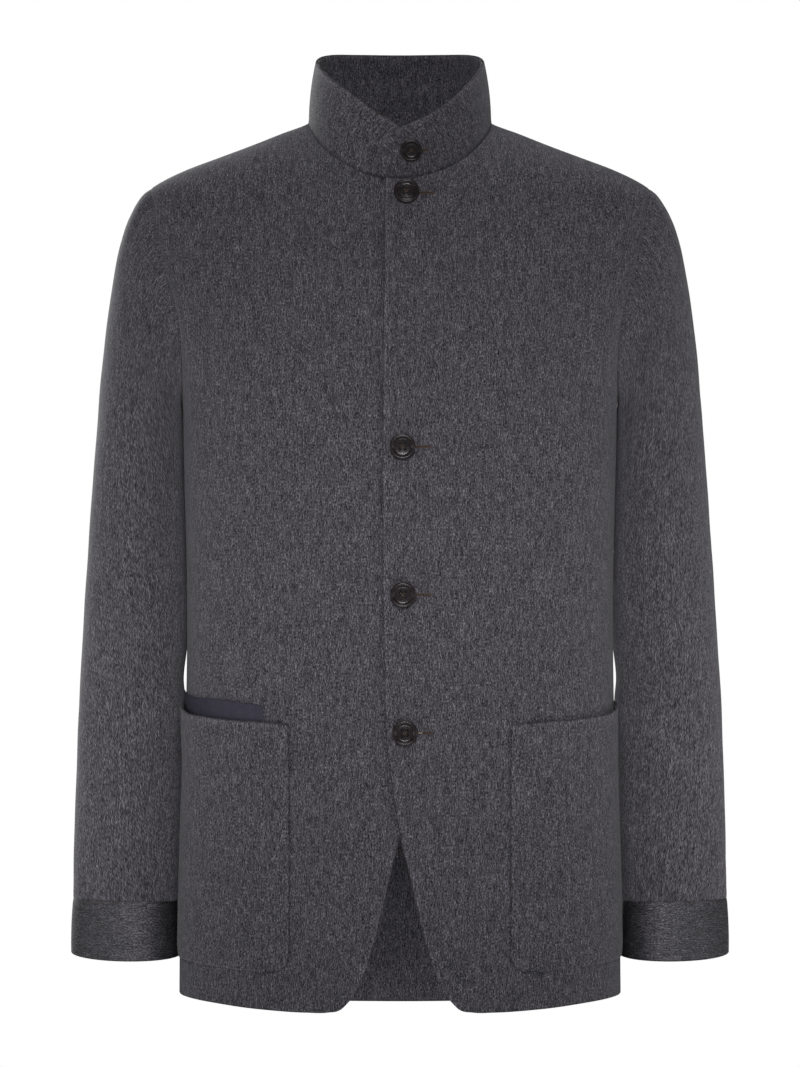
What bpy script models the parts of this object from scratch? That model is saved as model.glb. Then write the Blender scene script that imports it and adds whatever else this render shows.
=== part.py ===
"""A grey cashmere jacket with a stand collar, buttoned and filled out as if worn, with nobody in it.

Metres, +Z up. The front faces -Y and +X is the wearer's left. The origin is where a wearer's neck and
shoulders carry the jacket: midway between the two points where the collar meets the shoulder seams.
Heights are measured from there, so most of them are negative.
"""
import math

import bmesh
import bpy
import numpy as np
from mathutils import Vector

# Cloth and gaps
CLOTH = 0.0020  # wall of the body, sleeve and pocket cloth
COLLAR_CLOTH = 0.0032  # two layers
CUFF_CLOTH = 0.0028  # two layers
FACING_CLOTH = 0.0010
SEAM = 0.0003  # gap between two pieces at a seam
SLEEVE_GAP = 0.0009  # at an armhole, where the two walls lean together
POCKET_GAP = 0.0010  # air behind a pocket
FACING_GAP = 0.0008
LAP_GAP = 0.0006  # air between the two lapped fronts

# Body
NECK_HALF = 0.0775  # half the neck width, where the collar meets the shoulder seams
NECK_TOP = 0.0010
FRONT_NECK_DROP = 0.0507  # how far the neckline drops to the centre front
BACK_NECK_RISE = 0.0160
SHOULDER_HALF = 0.2120
SHOULDER_POINT = -0.0555
UNDERARM = -0.2360
WAIST = -0.4000
QUARTER_GIRTH = 0.2600  # round the waist from a centre line to a side seam
LAP = 0.0130  # how far each front runs past the centre line
LAP_STARTS = 0.0520  # from the centre line to where the right front starts to move in under the left one
LAP_SETTLES = 0.0340
SIDE_HEM = -0.7374
BACK_HEM_DROP = 0.0170

# Facets
NECK_COLUMNS = 6
SHOULDER_COLUMNS = 8
PANEL_COLUMNS = NECK_COLUMNS + SHOULDER_COLUMNS
NECK_SHARE = NECK_COLUMNS / PANEL_COLUMNS
LOWER_ROWS = 12
UPPER_ROWS = 11
SLEEVE_ROWS = 20

# Trim
BUTTON_RADIUS = 0.0107
COLLAR_BUTTON_RADIUS = 0.0088
BUTTON_THICKNESS = 0.0042
BUTTON_GAP = 0.0005
POCKET_INNER = 0.0915  # from the centre line to a pocket's front edge
POCKET_SIDE = 0.985  # share of the way round from the centre front to the side seam
POCKET_CORNER = 0.0120
POCKET_DEPTH = 0.2060
FACING_INNER = 0.1135
FACING_TUCK = 0.0150  # how far the facing runs down behind the pocket's mouth


def table(columns, *rows):
    """The columns of a short table, by name."""
    return dict(zip(columns.split(), np.array(rows).T))


# Level sections of the body from the hem up: half width, depth in front and behind, squareness of the oval
TORSO = table(
    "height half_width front back square",
    (-0.800, 0.1878, 0.1430, 0.1340, 2.55),
    (-0.745, 0.1874, 0.1420, 0.1320, 2.55),
    (-0.650, 0.1862, 0.1400, 0.1260, 2.55),
    (-0.550, 0.1832, 0.1380, 0.1180, 2.55),
    (-0.470, 0.1812, 0.1375, 0.1140, 2.55),
    (-0.400, 0.1808, 0.1390, 0.1160, 2.55),
    (-0.310, 0.1828, 0.1423, 0.1255, 2.55),
    (-0.270, 0.1838, 0.1424, 0.1286, 2.55),
    (-0.236, 0.1846, 0.1416, 0.1298, 2.54),
    (-0.215, 0.1872, 0.1402, 0.1288, 2.51),
    (-0.195, 0.1907, 0.1380, 0.1266, 2.46),
    (-0.172, 0.1960, 0.1338, 0.1230, 2.40),
    (-0.147, 0.2035, 0.1272, 0.1180, 2.34),
    (-0.125, 0.2108, 0.1200, 0.1130, 2.28),
    (-0.0985, 0.2165, 0.1106, 0.1060, 2.20),
    (-0.0750, 0.2170, 0.1012, 0.0980, 2.12),
    (-0.0555, 0.2120, 0.0924, 0.0902, 2.06),
    (-0.0493, 0.2023, 0.0893, 0.0877, 2.04),
    (-0.0391, 0.1810, 0.0822, 0.0833, 2.00),
    (-0.0289, 0.1539, 0.0715, 0.0787, 2.00),
    (-0.0187, 0.1267, 0.0560, 0.0738, 2.00),
    (-0.0085, 0.1012, 0.0360, 0.0693, 2.00),
    (0.0010, 0.0775, 0.0120, 0.0655, 2.00),
    (0.0120, 0.0730, 0.0100, 0.0634, 2.00),
    (0.0200, 0.0700, 0.0100, 0.0615, 2.00),
)

# Front edge from the rounded lower corner up: how far it stays off the centre line on its own side
FRONT_EDGE = table(
    "height reach",
    (-0.7367, 0.0421),
    (-0.7259, 0.0353),
    (-0.7120, 0.0290),
    (-0.6985, 0.0245),
    (-0.6710, 0.0166),
    (-0.6352, 0.0088),
    (-0.6020, 0.0004),
    (-0.5738, -0.0042),
    (-0.5472, -0.0081),
    (-0.5189, -0.0116),
    (-0.4700, -LAP),
    (0.0200, -LAP),
)

# Front hem from the rounded lower corner to the side seam
FRONT_HEM = table(
    "reach height",
    (0.0421, -0.7367),
    (0.0490, -0.7434),
    (0.0607, -0.7461),
    (0.0781, -0.7463),
    (0.1180, -0.7443),
    (0.1580, -0.7405),
    (0.1775, -0.7386),
    (0.1870, -0.7374),
)

# Armhole seam from the underarm up
ARMHOLE = table(
    "height reach",
    (-0.2360, 0.1846),
    (-0.2150, 0.1840),
    (-0.1950, 0.1842),
    (-0.1720, 0.1864),
    (-0.1470, 0.1925),
    (-0.1250, 0.1985),
    (-0.0985, 0.2048),
    (-0.0750, 0.2090),
    (-0.0555, 0.2120),
)

# Soft folds that the cloth hangs in: face, place across, upper and lower end, half width, depth
FOLDS = (
    ("front", 0.118, -0.270, -0.520, 0.030, 0.0016),
    ("front", 0.050, -0.330, -0.500, 0.022, 0.0008),
    ("back", 0.105, -0.120, -0.560, 0.040, 0.0035),
    ("back", 0.045, -0.330, -0.640, 0.030, 0.0025),
    ("back", 0.135, -0.480, -0.735, 0.030, 0.0030),
)

# Sleeve rings from the armhole to the cuff seam: outer and inner point, half depth, middle from front to back
SLEEVE = table(
    "outer_x outer_z inner_x inner_z half_depth middle",
    (0.2120, -0.0555, 0.1850, -0.2362, 0.0600, 0.000),
    (0.2180, -0.0604, 0.1853, -0.2385, 0.0610, 0.002),
    (0.2235, -0.0675, 0.1853, -0.2410, 0.0620, 0.005),
    (0.2312, -0.0820, 0.1852, -0.2450, 0.0632, 0.009),
    (0.2372, -0.0990, 0.1850, -0.2500, 0.0640, 0.014),
    (0.2447, -0.1330, 0.1846, -0.2590, 0.0645, 0.020),
    (0.2500, -0.1670, 0.1842, -0.2690, 0.0645, 0.025),
    (0.2548, -0.2100, 0.1836, -0.2850, 0.0640, 0.030),
    (0.2592, -0.2600, 0.1828, -0.3080, 0.0632, 0.034),
    (0.2630, -0.3100, 0.1816, -0.3400, 0.0620, 0.037),
    (0.2663, -0.3560, 0.1807, -0.3740, 0.0605, 0.039),
    (0.2694, -0.4050, 0.1808, -0.4130, 0.0590, 0.040),
    (0.2720, -0.4440, 0.1821, -0.4445, 0.0570, 0.041),
    (0.2738, -0.4730, 0.1855, -0.4740, 0.0552, 0.041),
    (0.2766, -0.5410, 0.1878, -0.5410, 0.0515, 0.041),
    (0.2787, -0.6090, 0.1884, -0.6090, 0.0480, 0.041),
    (0.2797, -0.6600, 0.1884, -0.6620, 0.0445, 0.041),
)
SLEEVE_SETTLES = 0.100  # length over which a sleeve leaves the armhole's own shape

# Cuff from its seam down: as for the sleeve, and how far the front and back hang below the sides
CUFF = table(
    "outer_x outer_z inner_x inner_z half_depth middle hang",
    (0.2804, -0.6604, 0.1880, -0.6624, 0.0451, 0.041, 0.0000),
    (0.2810, -0.6770, 0.1878, -0.6780, 0.0450, 0.042, 0.0010),
    (0.2815, -0.6930, 0.1876, -0.6930, 0.0446, 0.042, 0.0025),
    (0.2815, -0.7070, 0.1876, -0.7065, 0.0440, 0.043, 0.0045),
)

# Height of the collar's upper edge by degrees from the centre front: on the side that laps under, and over
COLLAR = table(
    "angle under over",
    (-14.0, -0.0140, -0.0148),
    (0.0, -0.0066, -0.0066),
    (15.0, 0.0035, 0.0015),
    (30.0, 0.0150, 0.0105),
    (50.0, 0.0290, 0.0255),
    (70.0, 0.0428, 0.0408),
    (84.0, 0.0490, 0.0480),
    (97.0, 0.0542, 0.0539),
    (110.0, 0.0584, 0.0583),
    (124.0, 0.0610, 0.0610),
    (150.0, 0.0623, 0.0623),
    (180.0, 0.0625, 0.0625),
)
COLLAR_UNDER_END = 19.0  # degrees past the centre front
COLLAR_OVER_END = 12.0
COLLAR_LEAN = 0.078  # share of its radius that the collar leans in by at its top
COLLAR_ROWS = 4

# Pocket mouth and lower edge by distance from the centre line
POCKET = table(
    "reach mouth lower",
    (0.0915, -0.5073, -0.7130),
    (0.1130, -0.5050, -0.7122),
    (0.1520, -0.5015, -0.7090),
    (0.1720, -0.4970, -0.7068),
    (0.1805, -0.4900, -0.7056),
)
RIGHT_MOUTH_GAPE = 0.0040
LEFT_MOUTH_GAPE = 0.0026
MOUTH_SETTLES = 0.060  # height over which a mouth's gape dies out

# Upper edge of the facing behind the right pocket
FACING = table(
    "reach height",
    (0.1100, -0.4922),
    (0.1350, -0.4888),
    (0.1570, -0.4860),
    (0.1775, -0.4836),
    (0.1830, -0.4825),
)

# Front buttons from the top: across from the centre line, height
FRONT_BUTTONS = ((0.0055, -0.0630), (0.0020, -0.2760), (0.0025, -0.3990), (0.0040, -0.5138))
COLLAR_BUTTON = (0.0095, -0.0265)


def smooth(at, xs, ys):
    """A smooth curve through a table's points, read at any place."""
    slope = np.gradient(ys, xs)
    i = np.clip(np.searchsorted(xs, at) - 1, 0, len(xs) - 2)
    step = xs[i + 1] - xs[i]
    t = np.clip((at - xs[i]) / step, 0, 1)
    rest = 1 - t
    values = (1 + 2 * t) * rest**2 * ys[i] + (1 + 2 * rest) * t**2 * ys[i + 1]
    return values + step * (t * rest**2 * slope[i] - t**2 * rest * slope[i + 1])


def ease(t):
    """From 0 to 1 with soft ends."""
    t = np.clip(t, 0, 1)
    return t * t * (3 - 2 * t)


def level(column, height):
    return smooth(height, TORSO["height"], TORSO[column])


def girth_turn():
    """Share of the way round a quarter of the waist, against the angle that the oval is drawn with."""
    turn = np.linspace(0, math.pi / 2, 400)
    half_width, depth, square = level("half_width", WAIST), level("front", WAIST), level("square", WAIST)
    x = half_width * np.sin(turn) ** (2 / square)
    y = depth * np.abs(np.cos(turn)) ** (2 / square)
    run = np.concatenate(([0], np.cumsum(np.hypot(np.diff(x), np.diff(y)))))
    return run / run[-1], turn


GIRTH = girth_turn()


def fold_depth(face, x, height):
    """How far the soft folds take the cloth in."""
    depth = 0
    for on_face, across, top, bottom, half_width, deep in FOLDS:
        if on_face == face:
            beside = np.exp(-(((np.abs(x) - across) / half_width) ** 2))
            along = np.clip((height - bottom) / (top - bottom), 0, 1)
            depth = depth + deep * beside * np.sin(math.pi * along) ** 2
    return depth


def station_at(x, height):
    """Where a place across the body lies on the way round: 0 in the middle, 1 at the side or shoulder seam."""
    share = np.clip(np.abs(x) / level("half_width", height), 0, 1)
    turn = np.arcsin(share ** (level("square", height) / 2))
    return np.sign(x) * np.interp(turn, GIRTH[1], GIRTH[0])


def on_torso(face, station, height):
    """The outside of the cloth at a station and a height, on the front or the back."""
    turn = np.interp(np.abs(station), *GIRTH)
    power = 2 / level("square", height)
    x = np.sign(station) * level("half_width", height) * np.sin(turn) ** power
    depth = level(face, height) * np.clip(np.cos(turn), 0, 1) ** power
    side_share = np.clip(depth / level(face, height), 0, 1)
    depth = depth - fold_depth(face, x, height) * ease(2 * side_share)
    outward = -1 if face == "front" else 1
    return np.stack((x, outward * (depth + SEAM / 2), height + 0 * x), axis=-1)


def shoulder_height(x):
    """Height of the shoulder seam, where the level sections close."""
    heights = np.linspace(NECK_TOP, SHOULDER_POINT, 200)
    return np.interp(x, level("half_width", heights), heights)


def neck_height(face, angle):
    """Height of the neckline at an angle from the centre of the front or back."""
    if face == "front":
        return NECK_TOP - FRONT_NECK_DROP * np.clip(np.cos(angle), 0, 1) ** 1.3
    return NECK_TOP + BACK_NECK_RISE * np.clip(np.cos(angle), 0, 1) ** 2.5


def top_line(face, first_angle, u):
    """The upper edge of a panel, the neckline and then the shoulder seam, as places across and heights."""
    angle = first_angle + (math.pi / 2 - first_angle) * np.clip(u / NECK_SHARE, 0, 1)
    along_shoulder = np.clip((u - NECK_SHARE) / (1 - NECK_SHARE), 0, 1)
    neck_x = NECK_HALF * np.sin(angle)
    shoulder_x = NECK_HALF + (SHOULDER_HALF - NECK_HALF) * along_shoulder
    on_neck = u < NECK_SHARE - 1e-9
    height = np.where(on_neck, neck_height(face, angle), shoulder_height(shoulder_x))
    return np.where(on_neck, neck_x, shoulder_x), height


def lower_part(u, inner_reach, hem_height):
    """Stations and heights of a panel's rows from the hem to just below the underarm."""
    rise = ease(np.arange(LOWER_ROWS) / LOWER_ROWS)[:, None]
    inner_height = hem_height(0) + (UNDERARM - hem_height(0)) * rise
    inner = station_at(inner_reach(inner_height), inner_height)
    station = inner + (1 - inner) * u ** (1.3 - 0.3 * rise)
    hem = hem_height(station[0])
    return station, hem + (UNDERARM - hem) * rise


def upper_part(face, u, inner_reach, first_angle):
    """Stations and heights of a panel's rows from the underarm to the neckline and the shoulder seam."""
    up = (1 - np.cos(np.linspace(0, math.pi, UPPER_ROWS + 1)))[:, None] / 2
    top_x, top = top_line(face, first_angle, u)
    height = UNDERARM + (top - UNDERARM) * up
    inner = station_at(inner_reach(UNDERARM), UNDERARM)
    first_x = on_torso(face, inner + (1 - inner) * u, UNDERARM + 0 * u)[:, 0]
    x = first_x + (top_x - first_x) * up
    armhole_x = smooth(height[:, -1:], ARMHOLE["height"], ARMHOLE["reach"])
    x = x + (armhole_x - x[:, -1:]) * u**3
    return station_at(x, height), height


def panel(face, inner_reach, hem_height, first_angle):
    """Rows of points from the hem up, each from the panel's inner edge to the side seam or armhole."""
    u = np.linspace(0, 1, PANEL_COLUMNS + 1)
    lower = lower_part(u, inner_reach, hem_height)
    upper = upper_part(face, u, inner_reach, first_angle)
    station = np.concatenate((lower[0], upper[0]))
    height = np.concatenate((lower[1], upper[1]))
    return on_torso(face, station, height)


def front_points():
    """The wearer's left front."""
    hem_stations = station_at(FRONT_HEM["reach"], FRONT_HEM["height"])

    def inner_reach(height):
        return smooth(height, FRONT_EDGE["height"], FRONT_EDGE["reach"])

    def hem_height(station):
        return smooth(np.maximum(station, hem_stations[0]), hem_stations, FRONT_HEM["height"])

    return panel("front", inner_reach, hem_height, -math.asin(LAP / NECK_HALF))


def back_points():
    """The whole back, from the wearer's left side seam to the right one."""

    def inner_reach(height):
        return 0 * height

    def hem_height(station):
        return SIDE_HEM - BACK_HEM_DROP * (1 - np.abs(station) ** 2)

    left = panel("back", inner_reach, hem_height, 0.0)
    return np.concatenate((left[:, ::-1], left[:, 1:] * (-1, 1, 1)), axis=1)


def mirrored(points):
    """The same rows on the wearer's other side, still running from -X to +X."""
    return points[:, ::-1] * (-1, 1, 1)


def lapped_under(points, lap):
    """Points moved in near the centre front, on the wearer's right, to pass under the left front."""
    share = ease((points[..., :1] + LAP_STARTS) / LAP_SETTLES) * (points[..., 1:2] < 0)
    return points - outward(points) * lap * share


def armhole_ring(front, back):
    """The left armhole from the shoulder seam, down the front and up the back to the shoulder again."""
    down = front[LOWER_ROWS:, -1][::-1]
    up = back[LOWER_ROWS:, 0]
    ring = np.concatenate((down, up[1:-1]))
    ring[[0, UPPER_ROWS], 1] = 0
    return ring


def tube(sizes, along, count):
    """Rings through a table of tube sections, at the given distances down the outer side."""
    run = np.concatenate(([0], np.cumsum(np.hypot(np.diff(sizes["outer_x"]), np.diff(sizes["outer_z"])))))
    at = {name: smooth(along * run[-1], run, column)[:, None] for name, column in sizes.items()}
    turn = np.linspace(0, 2 * math.pi, count, endpoint=False)
    swing, side = (1 + np.cos(turn)) / 2, np.sin(turn)
    x = at["inner_x"] + (at["outer_x"] - at["inner_x"]) * swing
    y = at["middle"] - at["half_depth"] * side
    z = at["inner_z"] + (at["outer_z"] - at["inner_z"]) * swing
    if "hang" in sizes:
        z = z - at["hang"] * side**2
    return np.stack((x, y, z), axis=-1), along * run[-1]


def sleeve_points(front, back):
    """The left sleeve: rings that start as the armhole and settle to ovals."""
    along = np.linspace(0, 1, SLEEVE_ROWS + 1) ** 1.35
    rings, run = tube(SLEEVE, along, 2 * UPPER_ROWS)
    from_armhole = armhole_ring(front, back) + (SLEEVE_GAP, 0, 0) - rings[0]
    left_over = 1 - ease(run / SLEEVE_SETTLES)
    return rings + from_armhole * left_over[:, None, None]


def cuff_points():
    return tube(CUFF, np.linspace(0, 1, 4), 2 * UPPER_ROWS)[0]


def collar_angles():
    """Degrees round the neck from the centre front: the under end, the right side, the back, the left, the over end."""
    first = math.degrees(math.asin(LAP / NECK_HALF))
    front = np.linspace(-first, 90, NECK_COLUMNS + 1)
    back = np.linspace(90, 270, 2 * NECK_COLUMNS + 1)[1:-1]
    return np.concatenate(([-COLLAR_UNDER_END], front, back, 360 - front[::-1], [360 + COLLAR_OVER_END]))


def collar_base(degrees):
    """The neckline at an angle that grows from the centre front over the wearer's right shoulder."""
    angle = np.radians(degrees)
    x = -NECK_HALF * np.sin(angle)
    in_front = np.cos(angle) > 1e-9
    front_z, back_z = neck_height("front", angle), neck_height("back", angle + math.pi)
    front = on_torso("front", station_at(x, front_z), front_z)
    back = on_torso("back", station_at(x, back_z), back_z)
    base = np.where(in_front[:, None], front, back)
    base[np.abs(np.cos(angle)) < 1e-6, 1] = 0
    return base


def collar_points():
    """Rows from the neckline up, each from the over end round the back to the under end."""
    degrees = collar_angles()
    base = collar_base(degrees) + (0, 0, 2 * SEAM)
    from_front = np.where(degrees > 180, 360 - degrees, degrees)
    under = smooth(from_front, COLLAR["angle"], COLLAR["under"])
    over = smooth(from_front, COLLAR["angle"], COLLAR["over"])
    rise = np.where(degrees > 180, over, under) - base[:, 2]
    rows = []
    for share in np.linspace(0, 1, COLLAR_ROWS + 1):
        lean = 1 - COLLAR_LEAN * share**2
        ring = base * (lean, lean, 1)
        ring[:, 2] += rise * share
        rows.append(ring[::-1])
    points = np.array(rows)
    under_side = (degrees[::-1] < 90)[:, None]
    return np.where(under_side, lapped_under(points, COLLAR_CLOTH + LAP_GAP), points)


def outward(points, closed=False):
    """Unit normals of a grid of points, away from the wearer."""
    across = np.gradient(points, axis=1)
    if closed:
        across = np.roll(points, -1, axis=1) - np.roll(points, 1, axis=1)
    normal = np.cross(across, np.gradient(points, axis=0))
    return normal / np.linalg.norm(normal, axis=-1, keepdims=True)


def pocket_points(gape):
    """Outside of the left pocket: the front's own points, moved out, with a mouth that stands off."""
    first = station_at(POCKET_INNER, -0.6)
    width = QUARTER_GIRTH * (POCKET_SIDE - first)
    across = np.array([0, POCKET_CORNER / width, *np.linspace(0, 1, 9)[1:]])
    up = np.array([0, POCKET_CORNER / POCKET_DEPTH, *np.linspace(0, 1, 9)[1:]])[:, None]
    reach = POCKET_INNER + (POCKET["reach"][-1] - POCKET_INNER) * np.sin(across * math.pi / 2)
    mouth = smooth(reach, POCKET["reach"], POCKET["mouth"])
    lower = smooth(reach, POCKET["reach"], POCKET["lower"])
    height = lower + (mouth - lower) * up
    inner = station_at(POCKET_INNER + 0 * height[:, :1], height[:, :1])
    station = inner + (POCKET_SIDE - inner) * across
    height[0, 0] += 0.3 * POCKET_CORNER
    station[0, 0] += 0.3 * POCKET_CORNER / QUARTER_GIRTH
    points = on_torso("front", station, height)
    stand_off = gape * ease(1 - (mouth - height) / MOUTH_SETTLES) * (0.45 + 0.55 * ease(across * 1.6))
    return points + outward(points) * (POCKET_GAP + CLOTH + stand_off)[..., None]


def facing_points():
    """Outside of the strip that faces the right pocket, drawn on the left and mirrored later."""
    inner = station_at(FACING_INNER, -0.49)
    station = np.linspace(inner, POCKET_SIDE - 0.02, 8)
    reach = on_torso("front", station, np.full(8, -0.49))[:, 0]
    top = smooth(reach, FACING["reach"], FACING["height"])
    bottom = smooth(reach, POCKET["reach"], POCKET["mouth"]) - FACING_TUCK
    height = bottom + (top - bottom) * np.linspace(0, 1, 4)[:, None]
    points = on_torso("front", station + 0 * height, height)
    return points + outward(points) * (FACING_GAP + FACING_CLOTH)


def inside_of(points, thickness, closed, seamed):
    """The wearer's side of a cloth: its outside moved in, squarely at the side and shoulder seams."""
    normal = outward(points, closed)
    if seamed:
        normal[np.abs(points[..., 1]) < 2 * SEAM, 1] = 0
        normal /= np.linalg.norm(normal, axis=-1, keepdims=True)
    return points - thickness * normal


def loft(bm, points, closed):
    """A sheet of faces through rows of points. Returns its rows of vertices."""
    rows = [[bm.verts.new(point) for point in row] for row in points]
    for low, high in zip(rows, rows[1:]):
        for i in range(len(low) if closed else len(low) - 1):
            j = (i + 1) % len(low)
            bm.faces.new((low[i], low[j], high[j], high[i]))
    return rows


def border(rows, closed):
    """The edge loops of a lofted sheet: one round an open sheet, or one at each end of a tube."""
    if closed:
        return [rows[0], rows[-1]]
    right = [row[-1] for row in rows[1:-1]]
    left = [row[0] for row in rows[-2:0:-1]]
    return [rows[0] + right + rows[-1][::-1] + left]


def cloth(name, points, thickness, material, closed=False, seamed=False):
    """A wall of cloth lofted through rows of points on its outside, and closed along its edges."""
    bm = bmesh.new()
    outer = loft(bm, points, closed)
    inner = loft(bm, inside_of(points, thickness, closed, seamed), closed)
    for outer_loop, inner_loop in zip(border(outer, closed), border(inner, closed)):
        for i in range(len(outer_loop)):
            j = (i + 1) % len(outer_loop)
            bm.faces.new((outer_loop[i], outer_loop[j], inner_loop[j], inner_loop[i]))
    bmesh.ops.recalc_face_normals(bm, faces=bm.faces)
    mesh = bpy.data.meshes.new(name)
    bm.to_mesh(mesh)
    bm.free()
    mesh.shade_smooth()
    mesh.set_sharp_from_angle(angle=math.radians(50))
    return add_part(name, mesh, material)


def add_part(name, mesh, material):
    part = bpy.data.objects.new(name, mesh)
    mesh.materials.append(material)
    part.parent = holder
    parts.objects.link(part)
    return part


def make_material(name, color, roughness, sheen=0.0):
    material = bpy.data.materials.new(name)
    material.use_nodes = True
    shader = material.node_tree.nodes["Principled BSDF"]
    shader.inputs["Base Color"].default_value = (*color, 1)
    shader.inputs["Roughness"].default_value = roughness
    shader.inputs["Metallic"].default_value = 0
    shader.inputs["Sheen Weight"].default_value = sheen
    return material


def button_holes(name, radius, button):
    """Four short cylinders through a button, which cut its thread holes."""
    bm = bmesh.new()
    for quarter in range(4):
        angle = math.pi / 4 + quarter * math.pi / 2
        made = bmesh.ops.create_cone(
            bm, cap_ends=True, segments=8, radius1=0.1 * radius, radius2=0.1 * radius, depth=0.02
        )
        move = 0.27 * radius * Vector((math.cos(angle), math.sin(angle), 0))
        bmesh.ops.translate(bm, verts=made["verts"], vec=move)
    mesh = bpy.data.meshes.new(name)
    bm.to_mesh(mesh)
    bm.free()
    holes = bpy.data.objects.new(name, mesh)
    holes.parent = button
    holes.hide_render = True
    holes.display_type = "WIRE"
    cutters.objects.link(holes)
    return holes


def make_button(name, radius, place, facing):
    """A turned button with a raised rim, its back on the cloth and its axis along the cloth's normal."""
    profile = (
        (0.00, 0.66),
        (0.62, 0.66),
        (0.74, 0.94),
        (0.88, 1.00),
        (1.00, 0.72),
        (0.97, 0.22),
        (0.80, 0.00),
        (0.00, 0.00),
    )
    bm = bmesh.new()
    verts = [bm.verts.new((r * radius, 0, z * BUTTON_THICKNESS)) for r, z in profile]
    for first, second in zip(verts, verts[1:]):
        bm.edges.new((first, second))
    mesh = bpy.data.meshes.new(name)
    bm.to_mesh(mesh)
    bm.free()
    button = add_part(name, mesh, horn)
    button.location = place
    button.rotation_euler = facing.to_track_quat("Z", "Y").to_euler()
    screw = button.modifiers.new("Turned", "SCREW")
    screw.steps = 24
    screw.render_steps = 24
    screw.use_merge_vertices = True
    screw.merge_threshold = 0.00001
    holes = button.modifiers.new("Thread holes", "BOOLEAN")
    holes.object = button_holes(name + "_holes", radius, button)
    holes.solver = "EXACT"
    return button


def front_place(x, height):
    """A point of the left front's outside, with its normal."""
    steps = np.array((-0.002, 0.0, 0.002))
    heights = height + steps[:, None] + 0 * steps
    points = on_torso("front", station_at(x + steps + 0 * heights, heights), heights)
    return Vector(points[1, 1]), Vector(outward(points)[1, 1])


def collar_place(collar, x, height):
    """A point of the collar's over end, with its normal."""
    normals = outward(collar)
    near = (np.abs(collar[..., 0] - x) < 0.03) & (collar[..., 1] < 0) & (np.arange(collar.shape[1]) < 8)
    distance = np.where(near, np.hypot(collar[..., 0] - x, collar[..., 2] - height), 1)
    row, column = np.unravel_index(np.argmin(distance), distance.shape)
    normal = normals[row, column]
    start = collar[row, column]
    across = np.array((x - start[0], 0, height - start[2]))
    depth = -(across @ normal) / normal[1]
    return Vector(start + across + (0, depth, 0)), Vector(normal)


for old in list(bpy.data.objects):
    bpy.data.objects.remove(old)

parts = bpy.data.collections.new("Cashmere jacket")
cutters = bpy.data.collections.new("Cutters")
bpy.context.scene.collection.children.link(parts)
bpy.context.scene.collection.children.link(cutters)
holder = bpy.data.objects.new("jacket", None)
parts.objects.link(holder)

cashmere = make_material("cashmere", (0.069, 0.065, 0.075), 0.85, 0.25)
cashmere_across = make_material("cashmere across", (0.055, 0.052, 0.058), 0.70, 0.25)
satin = make_material("satin", (0.040, 0.039, 0.051), 0.40)
horn = make_material("horn", (0.021, 0.018, 0.020), 0.30)

left_front = front_points()
right_front = lapped_under(mirrored(left_front), CLOTH + LAP_GAP)
cloth("front_left", left_front, CLOTH, cashmere, seamed=True)
cloth("front_right", right_front, CLOTH, cashmere, seamed=True)
whole_back = back_points()
cloth("back", whole_back, CLOTH, cashmere, seamed=True)

left_sleeve = sleeve_points(left_front, whole_back)
left_cuff = cuff_points()
cloth("sleeve_left", left_sleeve, CLOTH, cashmere, closed=True)
cloth("sleeve_right", mirrored(left_sleeve), CLOTH, cashmere, closed=True)
cloth("cuff_left", left_cuff, CUFF_CLOTH, cashmere_across, closed=True)
cloth("cuff_right", mirrored(left_cuff), CUFF_CLOTH, cashmere_across, closed=True)

collar_rows = collar_points()
cloth("collar", collar_rows, COLLAR_CLOTH, cashmere)

cloth("pocket_left", pocket_points(LEFT_MOUTH_GAPE), CLOTH, cashmere)
cloth("pocket_right", mirrored(pocket_points(RIGHT_MOUTH_GAPE)), CLOTH, cashmere)
cloth("pocket_facing_right", mirrored(facing_points()), FACING_CLOTH, satin)

for number, (x, height) in enumerate(FRONT_BUTTONS, start=1):
    place, facing = front_place(x, height)
    make_button(f"button_{number}", BUTTON_RADIUS, place + facing * BUTTON_GAP, facing)
place, facing = collar_place(collar_rows, *COLLAR_BUTTON)
make_button("button_collar", COLLAR_BUTTON_RADIUS, place + facing * BUTTON_GAP, facing)
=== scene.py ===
"""Looks of a grey cashmere jacket: soft cloth walls on the form of its solids, with wool fibres, painted
light and shade, buttons and sewing.

Metres, +Z up. The front faces -Y and +X is the wearer's left. The origin is the centre of the neck, level
with the points where the collar meets the shoulder seams, so most heights are negative.
"""
import math

import bmesh
import bpy
import numpy as np
from mathutils import Matrix, Vector
from mathutils.bvhtree import BVHTree


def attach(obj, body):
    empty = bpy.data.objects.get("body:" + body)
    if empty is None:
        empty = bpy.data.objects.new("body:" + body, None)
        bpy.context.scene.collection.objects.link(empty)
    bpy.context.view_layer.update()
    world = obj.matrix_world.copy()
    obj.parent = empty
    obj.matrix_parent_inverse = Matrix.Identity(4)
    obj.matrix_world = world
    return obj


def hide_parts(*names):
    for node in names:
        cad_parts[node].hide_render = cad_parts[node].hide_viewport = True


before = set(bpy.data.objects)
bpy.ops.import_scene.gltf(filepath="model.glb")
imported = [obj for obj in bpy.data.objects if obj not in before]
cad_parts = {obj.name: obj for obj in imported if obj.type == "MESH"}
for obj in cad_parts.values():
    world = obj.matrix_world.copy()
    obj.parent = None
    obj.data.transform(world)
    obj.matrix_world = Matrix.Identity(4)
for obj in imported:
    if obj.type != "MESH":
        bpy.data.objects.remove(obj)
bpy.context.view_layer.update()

# Cloth and gaps
CLOTH = 0.0020
COLLAR_CLOTH = 0.0032
CUFF_CLOTH = 0.0028
FACING_CLOTH = 0.0010
SEAM = -0.0002  # seamed edges overlap a little
SLEEVE_GAP = 0.0004
POCKET_GAP = 0.0010
FACING_GAP = 0.0008
LAP_GAP = 0.0006

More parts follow.
